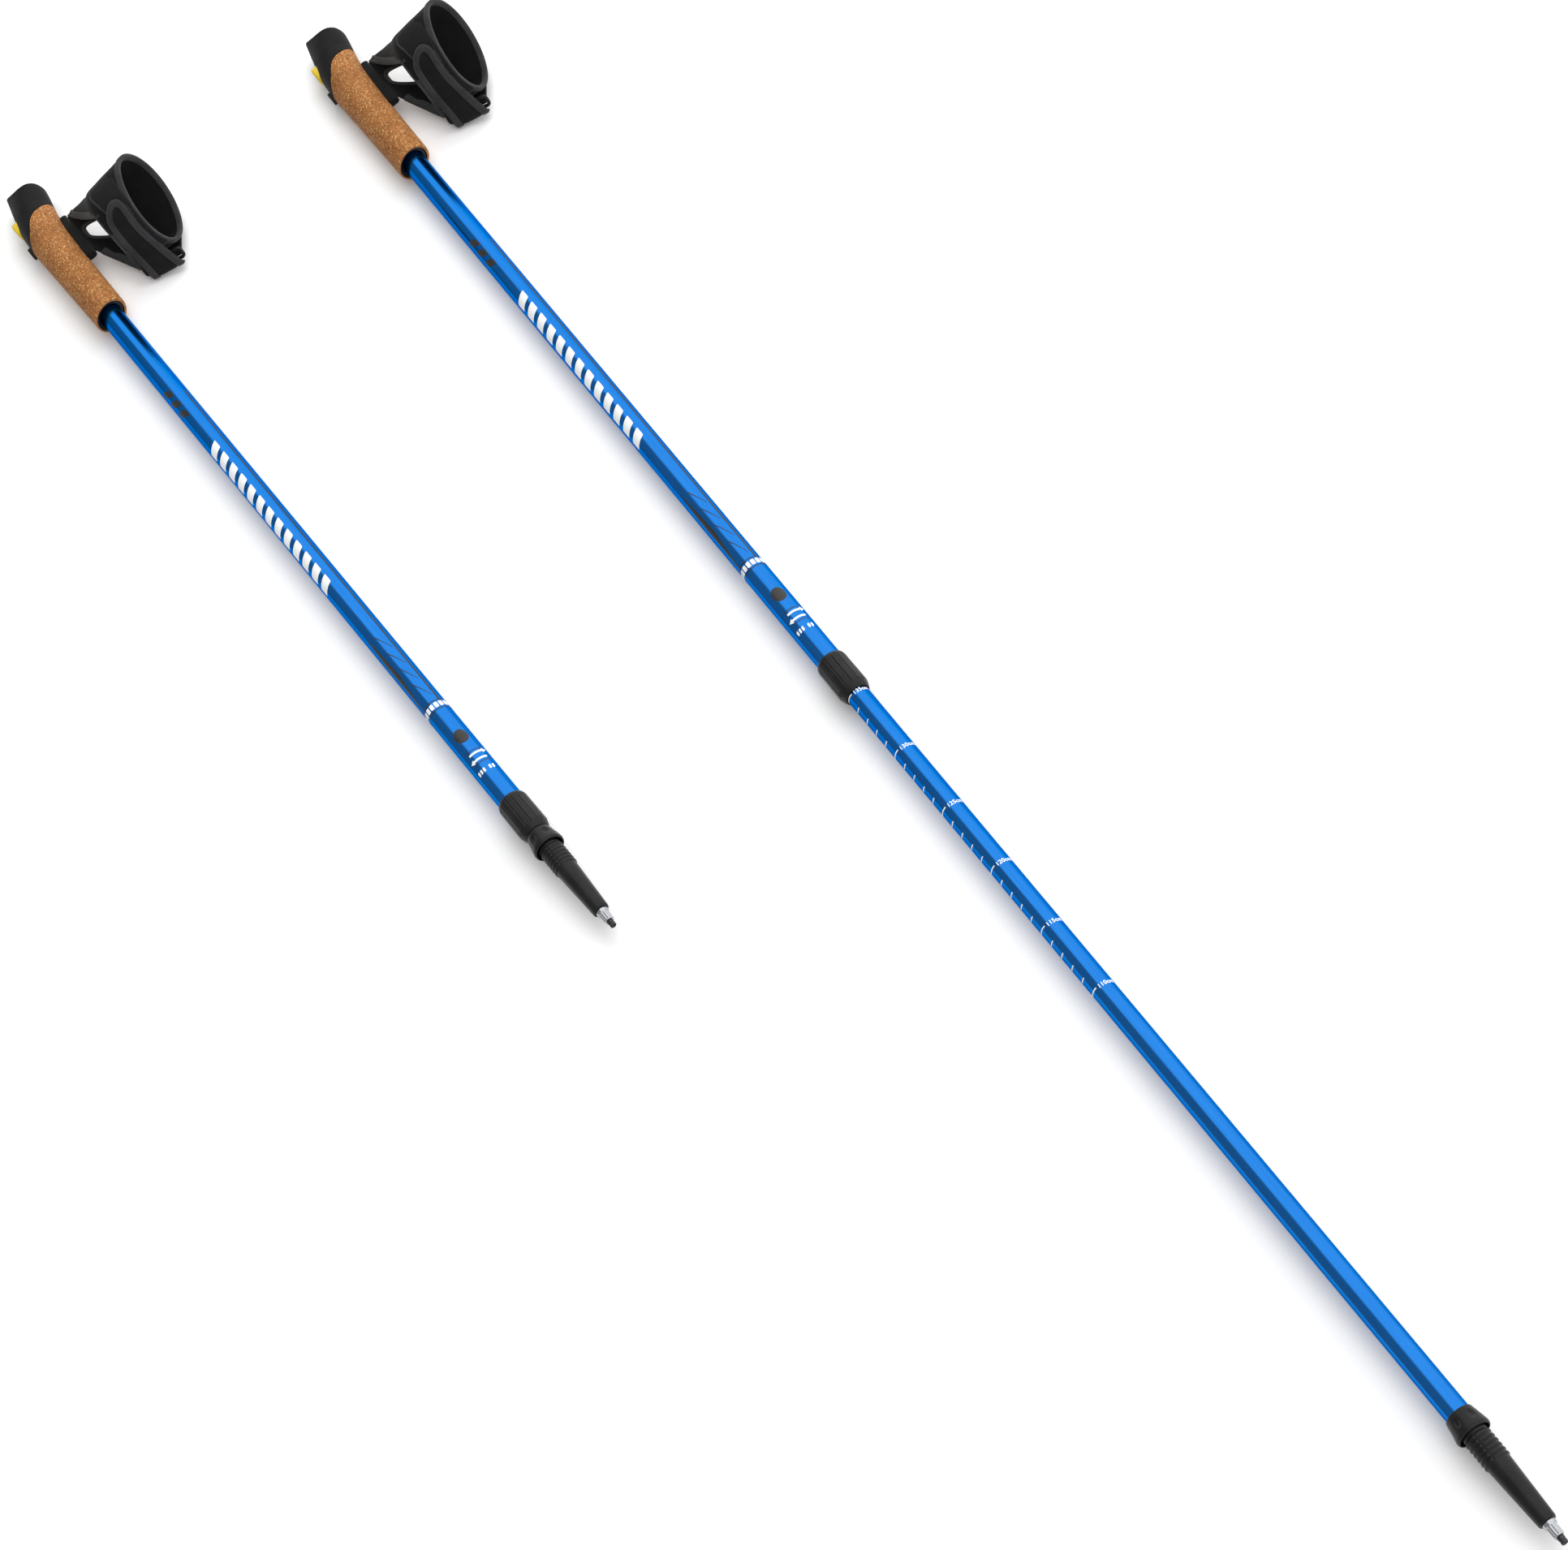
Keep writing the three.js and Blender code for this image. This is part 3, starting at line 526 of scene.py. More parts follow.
def grip_head(pole):
    """Moulded head on the cork, with the button's pocket and the clip's slot cut into it."""
    low, top = crossing(CORK_TOP, GRIP_ANGLES) + 0.25, crossing(HEAD_TOP, GRIP_ANGLES, 1.0)
    fillet, seam = 1.2, 0.35
    inner = grip_point(GRIP_ANGLES, low + 0.1, 1.2)
    rings = cap_rings(inner, CORK_TOP, 0.3, 10, 2.0)[::-1]
    for bend in np.linspace(0, math.pi / 2, 4):
        y = low + seam * (1 - math.cos(bend))
        rings.append(grip_point(GRIP_ANGLES, y, seam * (1 - math.sin(bend))))
    for t in np.linspace(0, 1, 34)[1:]:
        rings.append(grip_point(GRIP_ANGLES, low + seam + (top - fillet - low - seam) * t))
    for bend in np.linspace(0, math.pi / 2, 8)[1:]:
        y = top - fillet + fillet * math.sin(bend)
        rings.append(grip_point(GRIP_ANGLES, y, fillet * (1 - math.cos(bend))))
    rings += cap_rings(rings[-1], HEAD_TOP, 0.0, 12, 8.0)[1:]
    outside, play = -30, 0.6
    pocket = loft([[(x, BUTTON["y"] + (BUTTON["half"] + play) * math.cos(a),
                     (BUTTON["side"] + play) * math.sin(a)) for a in circle(48)]
                   for x in (outside, -13, -9.5, BUTTON["back"] + 3.2)])
    play = 0.4
    slot = box((outside, TONGUE["low"] - play, -TONGUE["half"] - play),
               (6, TONGUE["high"] + play, TONGUE["half"] + play), 0.8)
    slit_place = Matrix.Translation(SLIT["at"]) @ Matrix.Rotation(SLIT["lean"], 4, "Z")
    size = np.array(SLIT["half"])
    slit = box(-size, size, 0.2)
    slit = [tuple(slit_place @ Vector(p)) for p in slit[0]], slit[1]
    play = 0.5
    stem = box((BUTTON["back"] + 2, STEM["low"] - play, -STEM["half"] - play),
               (13, STEM["high"] + 1, STEM["half"] + play), 0.3)
    piece(pole, "head", carved(loft(rings), [pocket, slot, slit, stem]), "head", "handle",
          ["grip_head"], crease=38)


def cork_grip(pole):
    """Cork sleeve with a rounded lower lip, a fine seam at the head and pitted skin."""
    top = crossing(CORK_TOP, GRIP_ANGLES) - 0.1
    lip, curl, seam, bore = 0.75, 1.9, 0.35, CORE_R + 0.2

    def slant(points):
        """Moves a ring drawn square at the lower end on to the slanted end."""
        points[:, 1] += CORK_SLANT * points[:, 0]
        return points

    rings = []
    for bend in np.linspace(math.pi / 2, 0, 8):
        y = np.full(len(GRIP_ANGLES), CORK_END + curl * (1 - math.sin(bend)))
        rings.append(slant(grip_point(GRIP_ANGLES, y, lip * (1 - math.cos(bend)))))
    start = rings[-1][:, 1]
    for t in np.linspace(0, 1, 90)[1:]:
        skin = grip_point(GRIP_ANGLES, start + (top - seam - start) * t)
        rings.append(roughened(skin, 2.1, 0.09))
    for bend in np.linspace(0, math.pi / 2, 4)[1:]:
        rings.append(grip_point(GRIP_ANGLES, top - seam * (1 - math.sin(bend)),
                                seam * (1 - math.cos(bend))))
    bore_x, bore_z = bore * np.cos(GRIP_ANGLES), bore * np.sin(GRIP_ANGLES)
    rings.append(np.stack([bore_x, eased(CORK_TOP, bore_x, 1.6) - 0.1, bore_z], 1))
    rings.append(slant(np.stack([bore_x, np.full(len(bore_x), CORK_END + 0.2), bore_z], 1)))
    piece(pole, "cork", loft(rings, closed=True), "cork", "handle", ["cork_grip"])


def roughened(points, size, depth):
    """Points pushed in or out of the axis a little by smooth noise."""
    out = np.array(points, float)
    for p in out:
        wave = noise.noise(Vector(p) / size) * depth
        away = np.array([p[0], 0, p[2]])
        p += away / max(np.linalg.norm(away), 1e-6) * wave
    return out


def grip_core(pole):
    low = CORK_END + 0.9
    outline = rounded([(UPPER_R + 0.15, low), (CORE_R, low), (CORE_R, UPPER_TOP),
                       (UPPER_R + 0.15, UPPER_TOP)], 0.6, closed=True)
    points, polygons = turned(outline)
    lower = points[:, 1] < low + 4
    points[lower, 1] += CORK_SLANT * points[lower, 0]
    piece(pole, "core", (points, polygons), "black", "handle", ["grip_core"])


def release_button(pole):
    """Oval push button: dished face with three thumb ridges, and its stem."""
    face, back = BUTTON["face"], BUTTON["back"]
    angles = circle(56)
    depths = [(back, 0.94), (back + 0.5, 1.0), (face + 1.6, 1.0), (face + 0.9, 0.985),
              (face + 0.4, 0.94), (face + 0.1, 0.87), (face, 0.78), (face + 0.15, 0.62),
              (face + 0.35, 0.45), (face + 0.45, 0.25), (face + 0.45, 0.05)]
    rings = []
    for x, k in depths:
        y = BUTTON["half"] * k * np.cos(angles)
        ridge = 0.3 * np.cos(y * 2.1) * (0.2 < k < 0.75)
        rings.append(np.stack([x - ridge, BUTTON["y"] + y,
                               BUTTON["side"] * k * np.sin(angles)], 1))
    stem = box((back - 1, STEM["low"], -STEM["half"]), (3, STEM["high"], STEM["half"]), 0.4)
    shape = carved(loft(rings), [stem], "UNION")
    piece(pole, "button", shape, "yellow", "button",
          ["release_button"])


def strap_clip(pole):
    """Click-in clip: a tongue right through the grip and a ribbed bar behind it."""
    tongue = box((TONGUE["front"], TONGUE["low"], -TONGUE["half"]),
                 (ROOT["x"] + 1, TONGUE["high"], TONGUE["half"]), 0.7)
    bar = box((ROOT["x"], ROOT["low"], -ROOT["half"]),
              (ROOT["x"] + ROOT["depth"], ROOT["high"], ROOT["half"]), 1.0)
    grooves = []
    for y in np.arange(ROOT["low"] + 5, TONGUE["low"] - 4, 5):
        for side in (-1, 1):
            edge = side * ROOT["half"]
            grooves.append(box((ROOT["x"] + 0.8, y, edge - 0.35),
                               (ROOT["x"] + 3.2, y + 1.8, edge + 0.35), 0.3, 2))
    shape = carved(tongue, [bar], "UNION")
    shape = carved(shape, grooves)
    piece(pole, "clip", shape, "black", "clip", ["strap_clip"])


# ------------------------------------------------------------------ strap
def unit(v):
    """Vectors brought to length 1."""
    v = np.asarray(v, float)
    return v / np.maximum(np.linalg.norm(v, axis=-1, keepdims=True), 1e-9)


def cuff_point(v, degrees, offset=0.0):
    """The cuff's middle skin: v from its back 0 to its wrist rim 1, and the turn from the
    lower fold 0, by the far wall 90 and the upper fold 180, to the near wall 270."""
    turn = np.radians(degrees)
    v = np.asarray(v, float)
    long = np.linalg.norm(CUFF_LONG) * (BACK_LONG + (1 - BACK_LONG) * v) + offset
    short = np.linalg.norm(CUFF_SHORT) * (BACK_SHORT + (1 - BACK_SHORT) * v) + offset
    centre = BACK_CENTRE + (RIM_CENTRE - BACK_CENTRE) * v[..., None]
    return (centre + unit(CUFF_LONG) * (long * np.cos(turn))[..., None]
            + unit(CUFF_SHORT) * (short * np.sin(turn))[..., None])


def glove_start(turn):
    """Where the glove's skin starts at this turn: on the strap's root, along the gusset, on
    the hand opening or along the lower edge."""
    upper, lower = PALM_TURNS
    first, last = HAND_EDGE[0, 0], HAND_EDGE[-1, 0]
    if lower <= turn <= upper:
        return ROOT_TOP + (ROOT_LOW - ROOT_TOP) * (upper - turn) / (upper - lower)
    if upper < turn < first:
        share = (turn - upper) / (first - upper)
        end = cuff_point(np.array(HAND_EDGE[0, 1]), first)
        sag = np.array([0, -1.5, -1.0]) * math.sin(math.pi * share)
        return ROOT_TOP + (end - ROOT_TOP) * share + sag
    if first <= turn <= last:
        return cuff_point(np.array(eased(HAND_EDGE, np.array(turn), 10)), turn)
    share = (turn - last) / (360 + lower - last)
    return cuff_point(np.array(HAND_EDGE[-1, 1]), last) * (1 - share) + ROOT_LOW * share


def chaikin(rows, times):
    """Rounds a run of rows by cutting its corners; the first and last stay."""
    for _ in range(times):
        a, b = rows[:-1], rows[1:]
        cut = np.stack([0.75 * a + 0.25 * b, 0.25 * a + 0.75 * b], 1)
        cut = cut.reshape(-1, *rows.shape[1:])
        rows = np.concatenate([rows[:1], cut, rows[-1:]])
    return rows


def glove_skin():
    """Middle skin of the glove, as rows from its start to the wrist rim round all turns."""
    start = np.array([glove_start(t) for t in GLOVE_TURNS])
    turns = np.mod(GLOVE_TURNS, 360)
    near = (turns >= HAND_EDGE[0, 0]) & (turns <= HAND_EDGE[-1, 0])
    edge = np.where(near, eased(HAND_EDGE, turns, 10), -0.06)
    controls = [start]
    full = BULGE["out"] * np.exp(-((turns - BULGE["turn"]) / BULGE["spread"]) ** 2)
    for share in (0.06, 0.35, 0.7, 1.0):
        ring = cuff_point(edge + (1 - edge) * share, turns, full * (1 - share))
        if share == 0.06:
            controls += [start + (ring - start) * s for s in (0.25, 0.5, 0.75)]
        controls.append(ring)
    return chaikin(np.array(controls), 3)


def surface_frame(grid):
    """A grid's unit directions along its columns and its unit normals; columns close up."""
    along = np.gradient(grid, axis=0)
    across = np.roll(grid, -1, axis=1) - np.roll(grid, 1, axis=1)
    return unit(along), unit(np.cross(along, across))


def thick_sheet(grid, normal, half, keep, closed):
    """A solid of this half thickness over the kept cells of a grid of points."""
    rows, columns = grid.shape[:2]
    half = np.broadcast_to(half, (rows, columns))[..., None]
    verts = np.concatenate([(grid + normal * half).reshape(-1, 3),
                            (grid - normal * half).reshape(-1, 3)])
    size = rows * columns
    edges, faces = {}, []
    for r in range(rows - 1):
        for c in range(columns if closed else columns - 1):
            if not keep[r, c]:
                continue
            d = (c + 1) % columns
            quad = (r * columns + c, r * columns + d, (r + 1) * columns + d, (r + 1) * columns + c)
            faces.append(quad)
            faces.append(tuple(size + i for i in reversed(quad)))
            for a, b in zip(quad, quad[1:] + quad[:1]):
                if (b, a) in edges:
                    del edges[(b, a)]
                else:
                    edges[(a, b)] = True
    faces += [(b, a, size + a, size + b) for a, b in edges]
    used = sorted({i for f in faces for i in f})
    index = {old: new for new, old in enumerate(used)}
    return verts[used], [tuple(index[i] for i in f) for f in faces]


def binding(edge, inward, normal, half, width, closed):
    """Tape folded over an edge, as a swept U with a soft nose."""
    outer = half + TAPE
    outline = [(width, half * 0.6), (width, outer - 0.2), (width * 0.9, outer),
               (0.6, outer), (-NOSE * 0.6, outer * 0.72), (-NOSE, 0),
               (-NOSE * 0.6, -outer * 0.72), (0.6, -outer), (width * 0.9, -outer),
               (width, 0.2 - outer), (width, -half * 0.6)]
    outline = rounded(outline, 0.5, 2, closed=True)
    rings = [e + np.outer(outline[:, 0], i) + np.outer(outline[:, 1], n)
             for e, i, n in zip(edge, inward, normal)]
    return loft(rings, closed)


def stations(line):
    """Distance of each point of a line from its start."""
    return np.concatenate([[0], np.cumsum(np.linalg.norm(np.diff(line, axis=0), axis=1))])


def looked_up(spots, at, values):
    """Three-part values, known at some stations, at these spots."""
    return np.stack([np.interp(spots, at, values[:, i]) for i in range(3)], 1)


def evenly(line, count):
    """A line's points moved to even steps along it."""
    at = stations(line)
    return looked_up(np.linspace(0, at[-1], count), at, line)


def stitches(path, normal, length=2.2, gap=1.0, radius=0.26):
    """A row of thread stitches lying on a path, each a small rounded capsule."""
    at = stations(path)
    shapes = []
    place = gap
    while place + length < at[-1]:
        spots = np.linspace(place, place + length, 5)
        centre, up = looked_up(spots, at, path), unit(looked_up(spots, at, normal))
        side = unit(np.cross(np.gradient(centre, axis=0), up))
        rings = []
        for s, k in enumerate((0.25, 0.85, 1.0, 0.85, 0.25)):
            rings.append([centre[s] + (side[s] * math.cos(a) + up[s] * math.sin(a)) * radius * k
                          for a in circle(7)])
        shapes.append(loft(rings))
        place += length + gap
    return joined(shapes)


def sampled(grid, rows, columns):
    """Points of a grid at fractional rows and columns; columns close up."""
    rows = np.clip(rows, 0, grid.shape[0] - 1.001)
    r, c = np.floor(rows).astype(int), np.floor(columns).astype(int)
    u, v = (rows - r)[:, None], (columns - c)[:, None]
    width = grid.shape[1]
    top = grid[r, c % width] * (1 - v) + grid[r, (c + 1) % width] * v
    low = grid[r + 1, c % width] * (1 - v) + grid[r + 1, (c + 1) % width] * v
    return top * (1 - u) + low * u


def column_of(turn):
    """The glove's column, with its fraction, at this turn."""
    return (turn - GLOVE_TURNS[0]) / (GLOVE_TURNS[1] - GLOVE_TURNS[0])


def glove(pole):
    """Palm sheet and wrist cuff in one padded skin, with its bindings and stitching."""
    grid = glove_skin()
    rows, columns = grid.shape[:2]
    _, normal = surface_frame(grid)
    if np.sum(normal[-1] * (grid[-1] - RIM_CENTRE)) < 0:
        normal = -normal
    wave = np.array([[noise.noise(Vector(p) / 15) for p in row] for row in grid])
    rise = np.sin(np.linspace(0, math.pi, rows))[:, None]
    grid = grid + normal * (wave * 0.9 * rise)[..., None]
    row, column = np.mgrid[:rows, :columns] + 0.5
    keep = (((row - HOLE["row"]) / HOLE["rows"]) ** 4
            + ((column - HOLE["column"]) / HOLE["columns"]) ** 4) > 1
    half = FABRIC / 2 * (0.8 + 0.35 * rise) * np.ones((1, columns))
    shape = thick_sheet(grid, normal, half, keep, closed=True)
    skin = piece(pole, "glove", shape, "fabric", "strap",
                 ["palm_strap", "wrist_cuff"], crease=60)
    skin.data.materials.append(MATERIALS["lining"])
    points, outward = grid.reshape(-1, 3), normal.reshape(-1, 3)
    for polygon in skin.data.polygons:
        away = points - np.array(polygon.center) / MM
        nearest = int(np.argmin(np.sum(away ** 2, axis=1)))
        if np.array(polygon.normal) @ outward[nearest] < -0.2:
            polygon.material_index = 1
    glove_edges(pole, grid, normal)
    return grid, normal


def glove_edges(pole, grid, normal):
    """The glove's bindings, at the rim, the hand opening and the thumb hole, and stitching."""
    columns = grid.shape[1]
    shapes = []
    along, _ = surface_frame(grid)
    shapes.append(binding(grid[-1], -along[-1], normal[-1], FABRIC / 2, 3.6, True))
    opening = np.arange(math.ceil(column_of(PALM_TURNS[0])), columns + 1)
    clear = [min(np.linalg.norm(p - ROOT_TOP), np.linalg.norm(p - ROOT_LOW)) > 3
             for p in grid[0, opening % columns]]
    opening = opening[clear]
    edge = grid[0, opening % columns]
    tangent = unit(np.gradient(edge, axis=0))
    aside = np.interp(opening, [opening[0], column_of(HAND_EDGE[0, 0]),
                                column_of(HAND_EDGE[-1, 0]), columns],
                      [-9, 0, 0, 9]).astype(int)
    toward = grid[8, (opening + aside) % columns] - edge
    toward = unit(toward - tangent * np.sum(toward * tangent, axis=1)[:, None])
    across = unit(np.cross(tangent, toward))
    shapes.append(binding(edge, toward, across, FABRIC / 2, 4.6, False))
    ring = circle(72)
    power = (np.abs(np.cos(ring)) ** 4 + np.abs(np.sin(ring)) ** 4) ** -0.25
    hole_rows = HOLE["row"] + HOLE["rows"] * power * np.cos(ring)
    hole_columns = HOLE["column"] + HOLE["columns"] * power * np.sin(ring)
    edge = sampled(grid, hole_rows, hole_columns)
    middle = sampled(grid, np.array([HOLE["row"]]), np.array([HOLE["column"]]))[0]
    level = sampled(normal, hole_rows, hole_columns)
    tangent = unit(np.roll(edge, -1, axis=0) - np.roll(edge, 1, axis=0))
    away = unit(np.cross(level, tangent))
    away *= np.sign(np.sum(away * (edge - middle), axis=1))[:, None]
    shapes.append(binding(edge, away, unit(level), FABRIC / 2, 1.6, True))
    piece(pole, "glove_binding", joined(shapes), "binding", "strap", crease=50)

    outer = FABRIC / 2 + TAPE
    thread = []
    for side in (1, -1):
        path = grid[-1] - along[-1] * 2.7 + normal[-1] * outer * side
        thread.append(stitches(path, normal[-1] * side))
    hem = sampled(grid, hole_rows, hole_columns) + away * 1.1 + unit(level) * outer
    thread.append(stitches(hem, unit(level)))
    piece(pole, "glove_stitching", joined(thread), "thread", "strap")


def root_sleeve(pole):
    """Fabric sleeve round the clip's bar, and the strap's rolled hem on its hinge line."""
    sections = []
    middle, half = (ROOT["low"] + ROOT["high"]) / 2, (ROOT["high"] - ROOT["low"]) / 2
    for y in np.linspace(ROOT["low"] - 0.8, ROOT["high"] + 0.8, 30):
        back = grip_point(np.array([0.0]), np.array([y]))[0, 0] + 0.25
        full = 0.86 + 0.14 * math.sqrt(max(1 - ((y - middle) / (half + 0.85)) ** 8, 0))
        outline = [(back, 0), (back - 0.38, 3.2), (18, 3.1), (19.75, 1.55), (19.75, -1.55),
                   (18, -3.1), (back - 0.38, -3.2)]
        sections.append([(x, y, z * full) for x, z in rounded(outline, 0.8, 3, closed=True)])
    piece(pole, "clip_sleeve", loft(sections), "fabric", "clip", crease=60)
    y = np.concatenate([[ROOT["low"] + 0.2, ROOT["low"] + 0.5, ROOT["low"] + 1.2],
                        np.linspace(ROOT["low"] + 2, ROOT["high"] - 2, 40),
                        [ROOT["high"] - 1.2, ROOT["high"] - 0.5, ROOT["high"] - 0.2]])
    size = 1.15 * np.sqrt(np.clip(np.minimum(y - y[0], y[-1] - y) / 1.2 + 0.1, 0, 1))
    angles = circle(24)
    rings = [np.stack([ROOT_LINE_X + r * np.cos(angles), np.full(24, s), r * np.sin(angles)], 1)
             for r, s in zip(size, y)]
    piece(pole, "root_hem", loft(rings), "fabric", "strap")


def on_glove(grid, normal, v, turns, lift):
    """Points of the glove's skin at these shares of the cuff and these turns."""
    axis = RIM_CENTRE - BACK_CENTRE
    reached = (grid - BACK_CENTRE) @ axis / (axis @ axis)
    columns = column_of(turns)
    rows = [np.interp(share, np.maximum.accumulate(reached[:, int(c) % grid.shape[1]]),
                      np.arange(grid.shape[0])) for share, c in zip(v, columns)]
    rows = np.convolve(np.pad(rows, 2, mode="edge"), np.full(5, 0.2), mode="valid")
    level = unit(sampled(normal, rows, columns))
    return sampled(grid, rows, columns) + level * lift, level


def loop_panel(pole, grid, normal):
    """Recessed panel of fastening pile on the near wall, with a raised piped edge."""
    turns = np.linspace(206, 334, 70)
    # Shares of the cuff between which the panel lies, by the turn.
    low = np.interp(turns, [206, 216, 252, 290, 334], [0.24, 0.16, 0.24, 0.36, 0.36])
    high = np.interp(turns, [206, 218, 334], [0.7, 0.84, 0.84])
    rows = [on_glove(grid, normal, low + (high - low) * t, turns, FABRIC / 2 + 0.25)
            for t in np.linspace(0, 1, 14)]
    skin, level = np.array([r[0] for r in rows]), np.array([r[1] for r in rows])
    keep = np.ones(skin.shape[:2], bool)
    shape = thick_sheet(skin, level, 0.45, keep, closed=False)
    piece(pole, "loop_panel", shape, "pile", "strap", crease=50)
    edge = np.concatenate([skin[:, 0][::-1], skin[0, 1:], skin[1:, -1]])
    out = np.concatenate([level[:, 0][::-1], level[0, 1:], level[1:, -1]])
    side = unit(np.cross(unit(np.gradient(edge, axis=0)), out))
    rings = [e + o * 0.1 + np.outer(np.cos(RING), s) * 0.85 + np.outer(np.sin(RING), o) * 0.7
             for e, o, s in zip(edge, out, side)]
    piece(pole, "panel_piping", loft(rings), "binding", "strap")


BAR_DIR = unit([0.9, -0.38, 0.12])
BAR_BACK = unit(np.cross([0, 0, 1], BAR_DIR))
BAR_UP = np.cross(BAR_DIR, BAR_BACK)


def band_row(side, bar_turns, cuff_turns, lift):
    """One lengthwise line of a strap: round the loop's bar, then over the cuff."""
    v = 0.55 + 0.35 * side
    line = []
    for a in bar_turns:
        turn = math.radians(a)
        line.append(BAR + BAR_DIR * side * BAND_HALF
                    + (BAR_BACK * math.cos(turn) + BAR_UP * math.sin(turn)) * FOLD_R)
    for a in cuff_turns:
        line.append(cuff_point(np.array(v), a, FABRIC / 2 + lift))
    return chaikin(np.array(line), 3)


def strap_band(bar_turns, cuff_turns, lift, round_end, columns=29, rows=64):
    """Grid of a strap, rows along it. round_end draws its free end in to a half circle."""
    sides = np.sin(np.linspace(-math.pi / 2, math.pi / 2, columns))
    lines = [evenly(band_row(s, bar_turns, cuff_turns, lift), 160) for s in sides]
    grid = []
    for t in np.linspace(0, 1, rows):
        row = []
        for s, line in zip(sides, lines):
            reach = 1 - round_end * (1 - math.sqrt(max(1 - s * s, 0.0)))
            at = t * reach * (len(line) - 1)
            k = min(int(at), len(line) - 2)
            row.append(line[k] * (1 - at + k) + line[k + 1] * (at - k))
        grid.append(row)
    return np.array(grid)


def open_frame(grid):
    """Unit normals of a grid that doesn't close up."""
    along, across = np.gradient(grid, axis=0), np.gradient(grid, axis=1)
    return unit(np.cross(along, across))


def closure_tab(pole):
    """Fastening tab: padded tongue with a wide stitched binding round its free end."""
    grid = strap_band([-100, -125, -150, -175], [-52, -68, -84, -100, -116], 1.7, 0.2, 45, 110)
    normal = open_frame(grid)
    if normal[70, 20] @ (grid[70, 20] - BACK_CENTRE) < 0:
        normal = -normal
    rows, columns = grid.shape[:2]
    left, end, right = grid[:, 0], grid[-1, 1:-1], grid[::-1, -1]
    edge = evenly(np.concatenate([left, end, right]), 260)
    inside = np.array([[np.linalg.norm(edge - p, axis=1).min() for p in row] for row in grid])
    everywhere = np.ones((rows, columns), bool)
    shape = thick_sheet(grid, normal, 0.6 + 0.4 * smooth((inside - 4) / 5), everywhere,
                               False)
    core = piece(pole, "closure_tab", shape, "fabric", "tab",
                 ["closure_tab"], crease=60)
    # The binding swells from its thin edge, and runs out again at its inner side.
    half = 0.5 + 0.75 * smooth(inside / 1.1) - 0.95 * smooth((inside - 4.3) / 0.9)
    keep = np.maximum(inside[:-1, :-1], inside[1:, 1:]) < 5.6
    out = normal * 0.12
    shape = thick_sheet(grid + out, normal, half, np.pad(keep, ((0, 1), (0, 1))), False)
    piece(pole, "tab_binding", shape, "binding", "tab", crease=60)
    threads = []
    for column in (5, columns - 6):
        path = grid[4:-9, column]
        threads.append(stitches(path + normal[4:-9, column] * 1.28, normal[4:-9, column]))
    piece(pole, "tab_stitching", joined(threads), "thread", "tab")


def closure_web(pole):
    """Short webbing that ties the plastic loop to the cuff."""
    grid = strap_band([-2], [22, 36], 1.9, 0.0, 17, 24)
    normal = open_frame(grid)
    shape = thick_sheet(grid, normal, 0.9, np.ones(grid.shape[:2], bool), False)
    piece(pole, "closure_web", shape, "lining", "strap",
          ["closure_web"], crease=50)


def strap_loop(pole):
    """Moulded rectangular loop with rounded bars."""
    half, rise, wire = LOOP["half"], LOOP["rise"], LOOP["wire"]
    path = rounded([(-half, 0), (half, 0), (half, rise), (-half, rise)], 2.2, 5, closed=True)
    lean = math.radians(LOOP["lean"])
    up = BAR_BACK * math.sin(lean) + BAR_UP * math.cos(lean)
    out = np.cross(BAR_DIR, up)
    spine = BAR + np.outer(path[:, 0], BAR_DIR) + np.outer(path[:, 1], up)
    tangent = unit(np.roll(spine, -1, axis=0) - np.roll(spine, 1, axis=0))
    side = np.cross(tangent, out)
    rings = [s + np.outer(np.cos(RING), d) * wire + np.outer(np.sin(RING), out) * wire
             for s, d in zip(spine, side)]
    shape = loft(rings, closed=True)
    piece(pole, "strap_loop", shape, "black", "strap", ["strap_loop"])


# ------------------------------------------------------------------ shaft
def tubes(pole):
    """Upper and lower tube."""
    for name, radius, low, top, body, shift in (
            ("upper_tube", UPPER_R, UPPER_FOOT, UPPER_TOP, "handle", 0.0),
            ("lower_tube", LOWER_R, LOWER_FOOT, LOWER_TOP, "shaft", pole.pushed_in)):
        outline = rounded([(radius - WALL, low), (radius, low), (radius, top),
                           (radius - WALL, top)], 0.2, 2, closed=True)
        piece(pole, name, turned(outline, 96), "blue", body, [name], shift)


def lock_collar(pole):
    """Twist collar: flat facets parted by fine grooves between rounded ends."""
    facets, low, top = 14, -2.6, 27.8
    inset, groove_deep, groove_half = 0.12, 0.55, 0.035
    bore, lip = UPPER_R + 0.2, LOWER_R + 0.2
    outline = rounded([(lip, low), (7.9, low), (8.9, -0.6), (9.9, 2.6), (9.75, 25.6),
                       (9.1, top), (bore, top), (bore, UPPER_FOOT), (lip, UPPER_FOOT)],
                      0.9, 4, closed=True)
    def shape(radius, y, angles):
        sector = 2 * math.pi / facets
        turn = np.mod(angles, sector) - sector / 2
        fade = smooth(min(y - low - 1.5, top - 1.2 - y) / 3.0) if radius > 9.2 else 0.0
        flat = math.cos(sector / 2) / np.cos(turn) - math.cos(sector / 2)
        groove = np.exp(-((np.abs(turn) - sector / 2) / groove_half) ** 2)
        return radius + fade * (radius * flat - inset - groove_deep * groove)

    shape = turned(divided(outline, 26, 15, 9), facets * 16, shape)
    piece(pole, "lock_collar", shape, "collar", "handle",
          ["lock_collar"], crease=40)


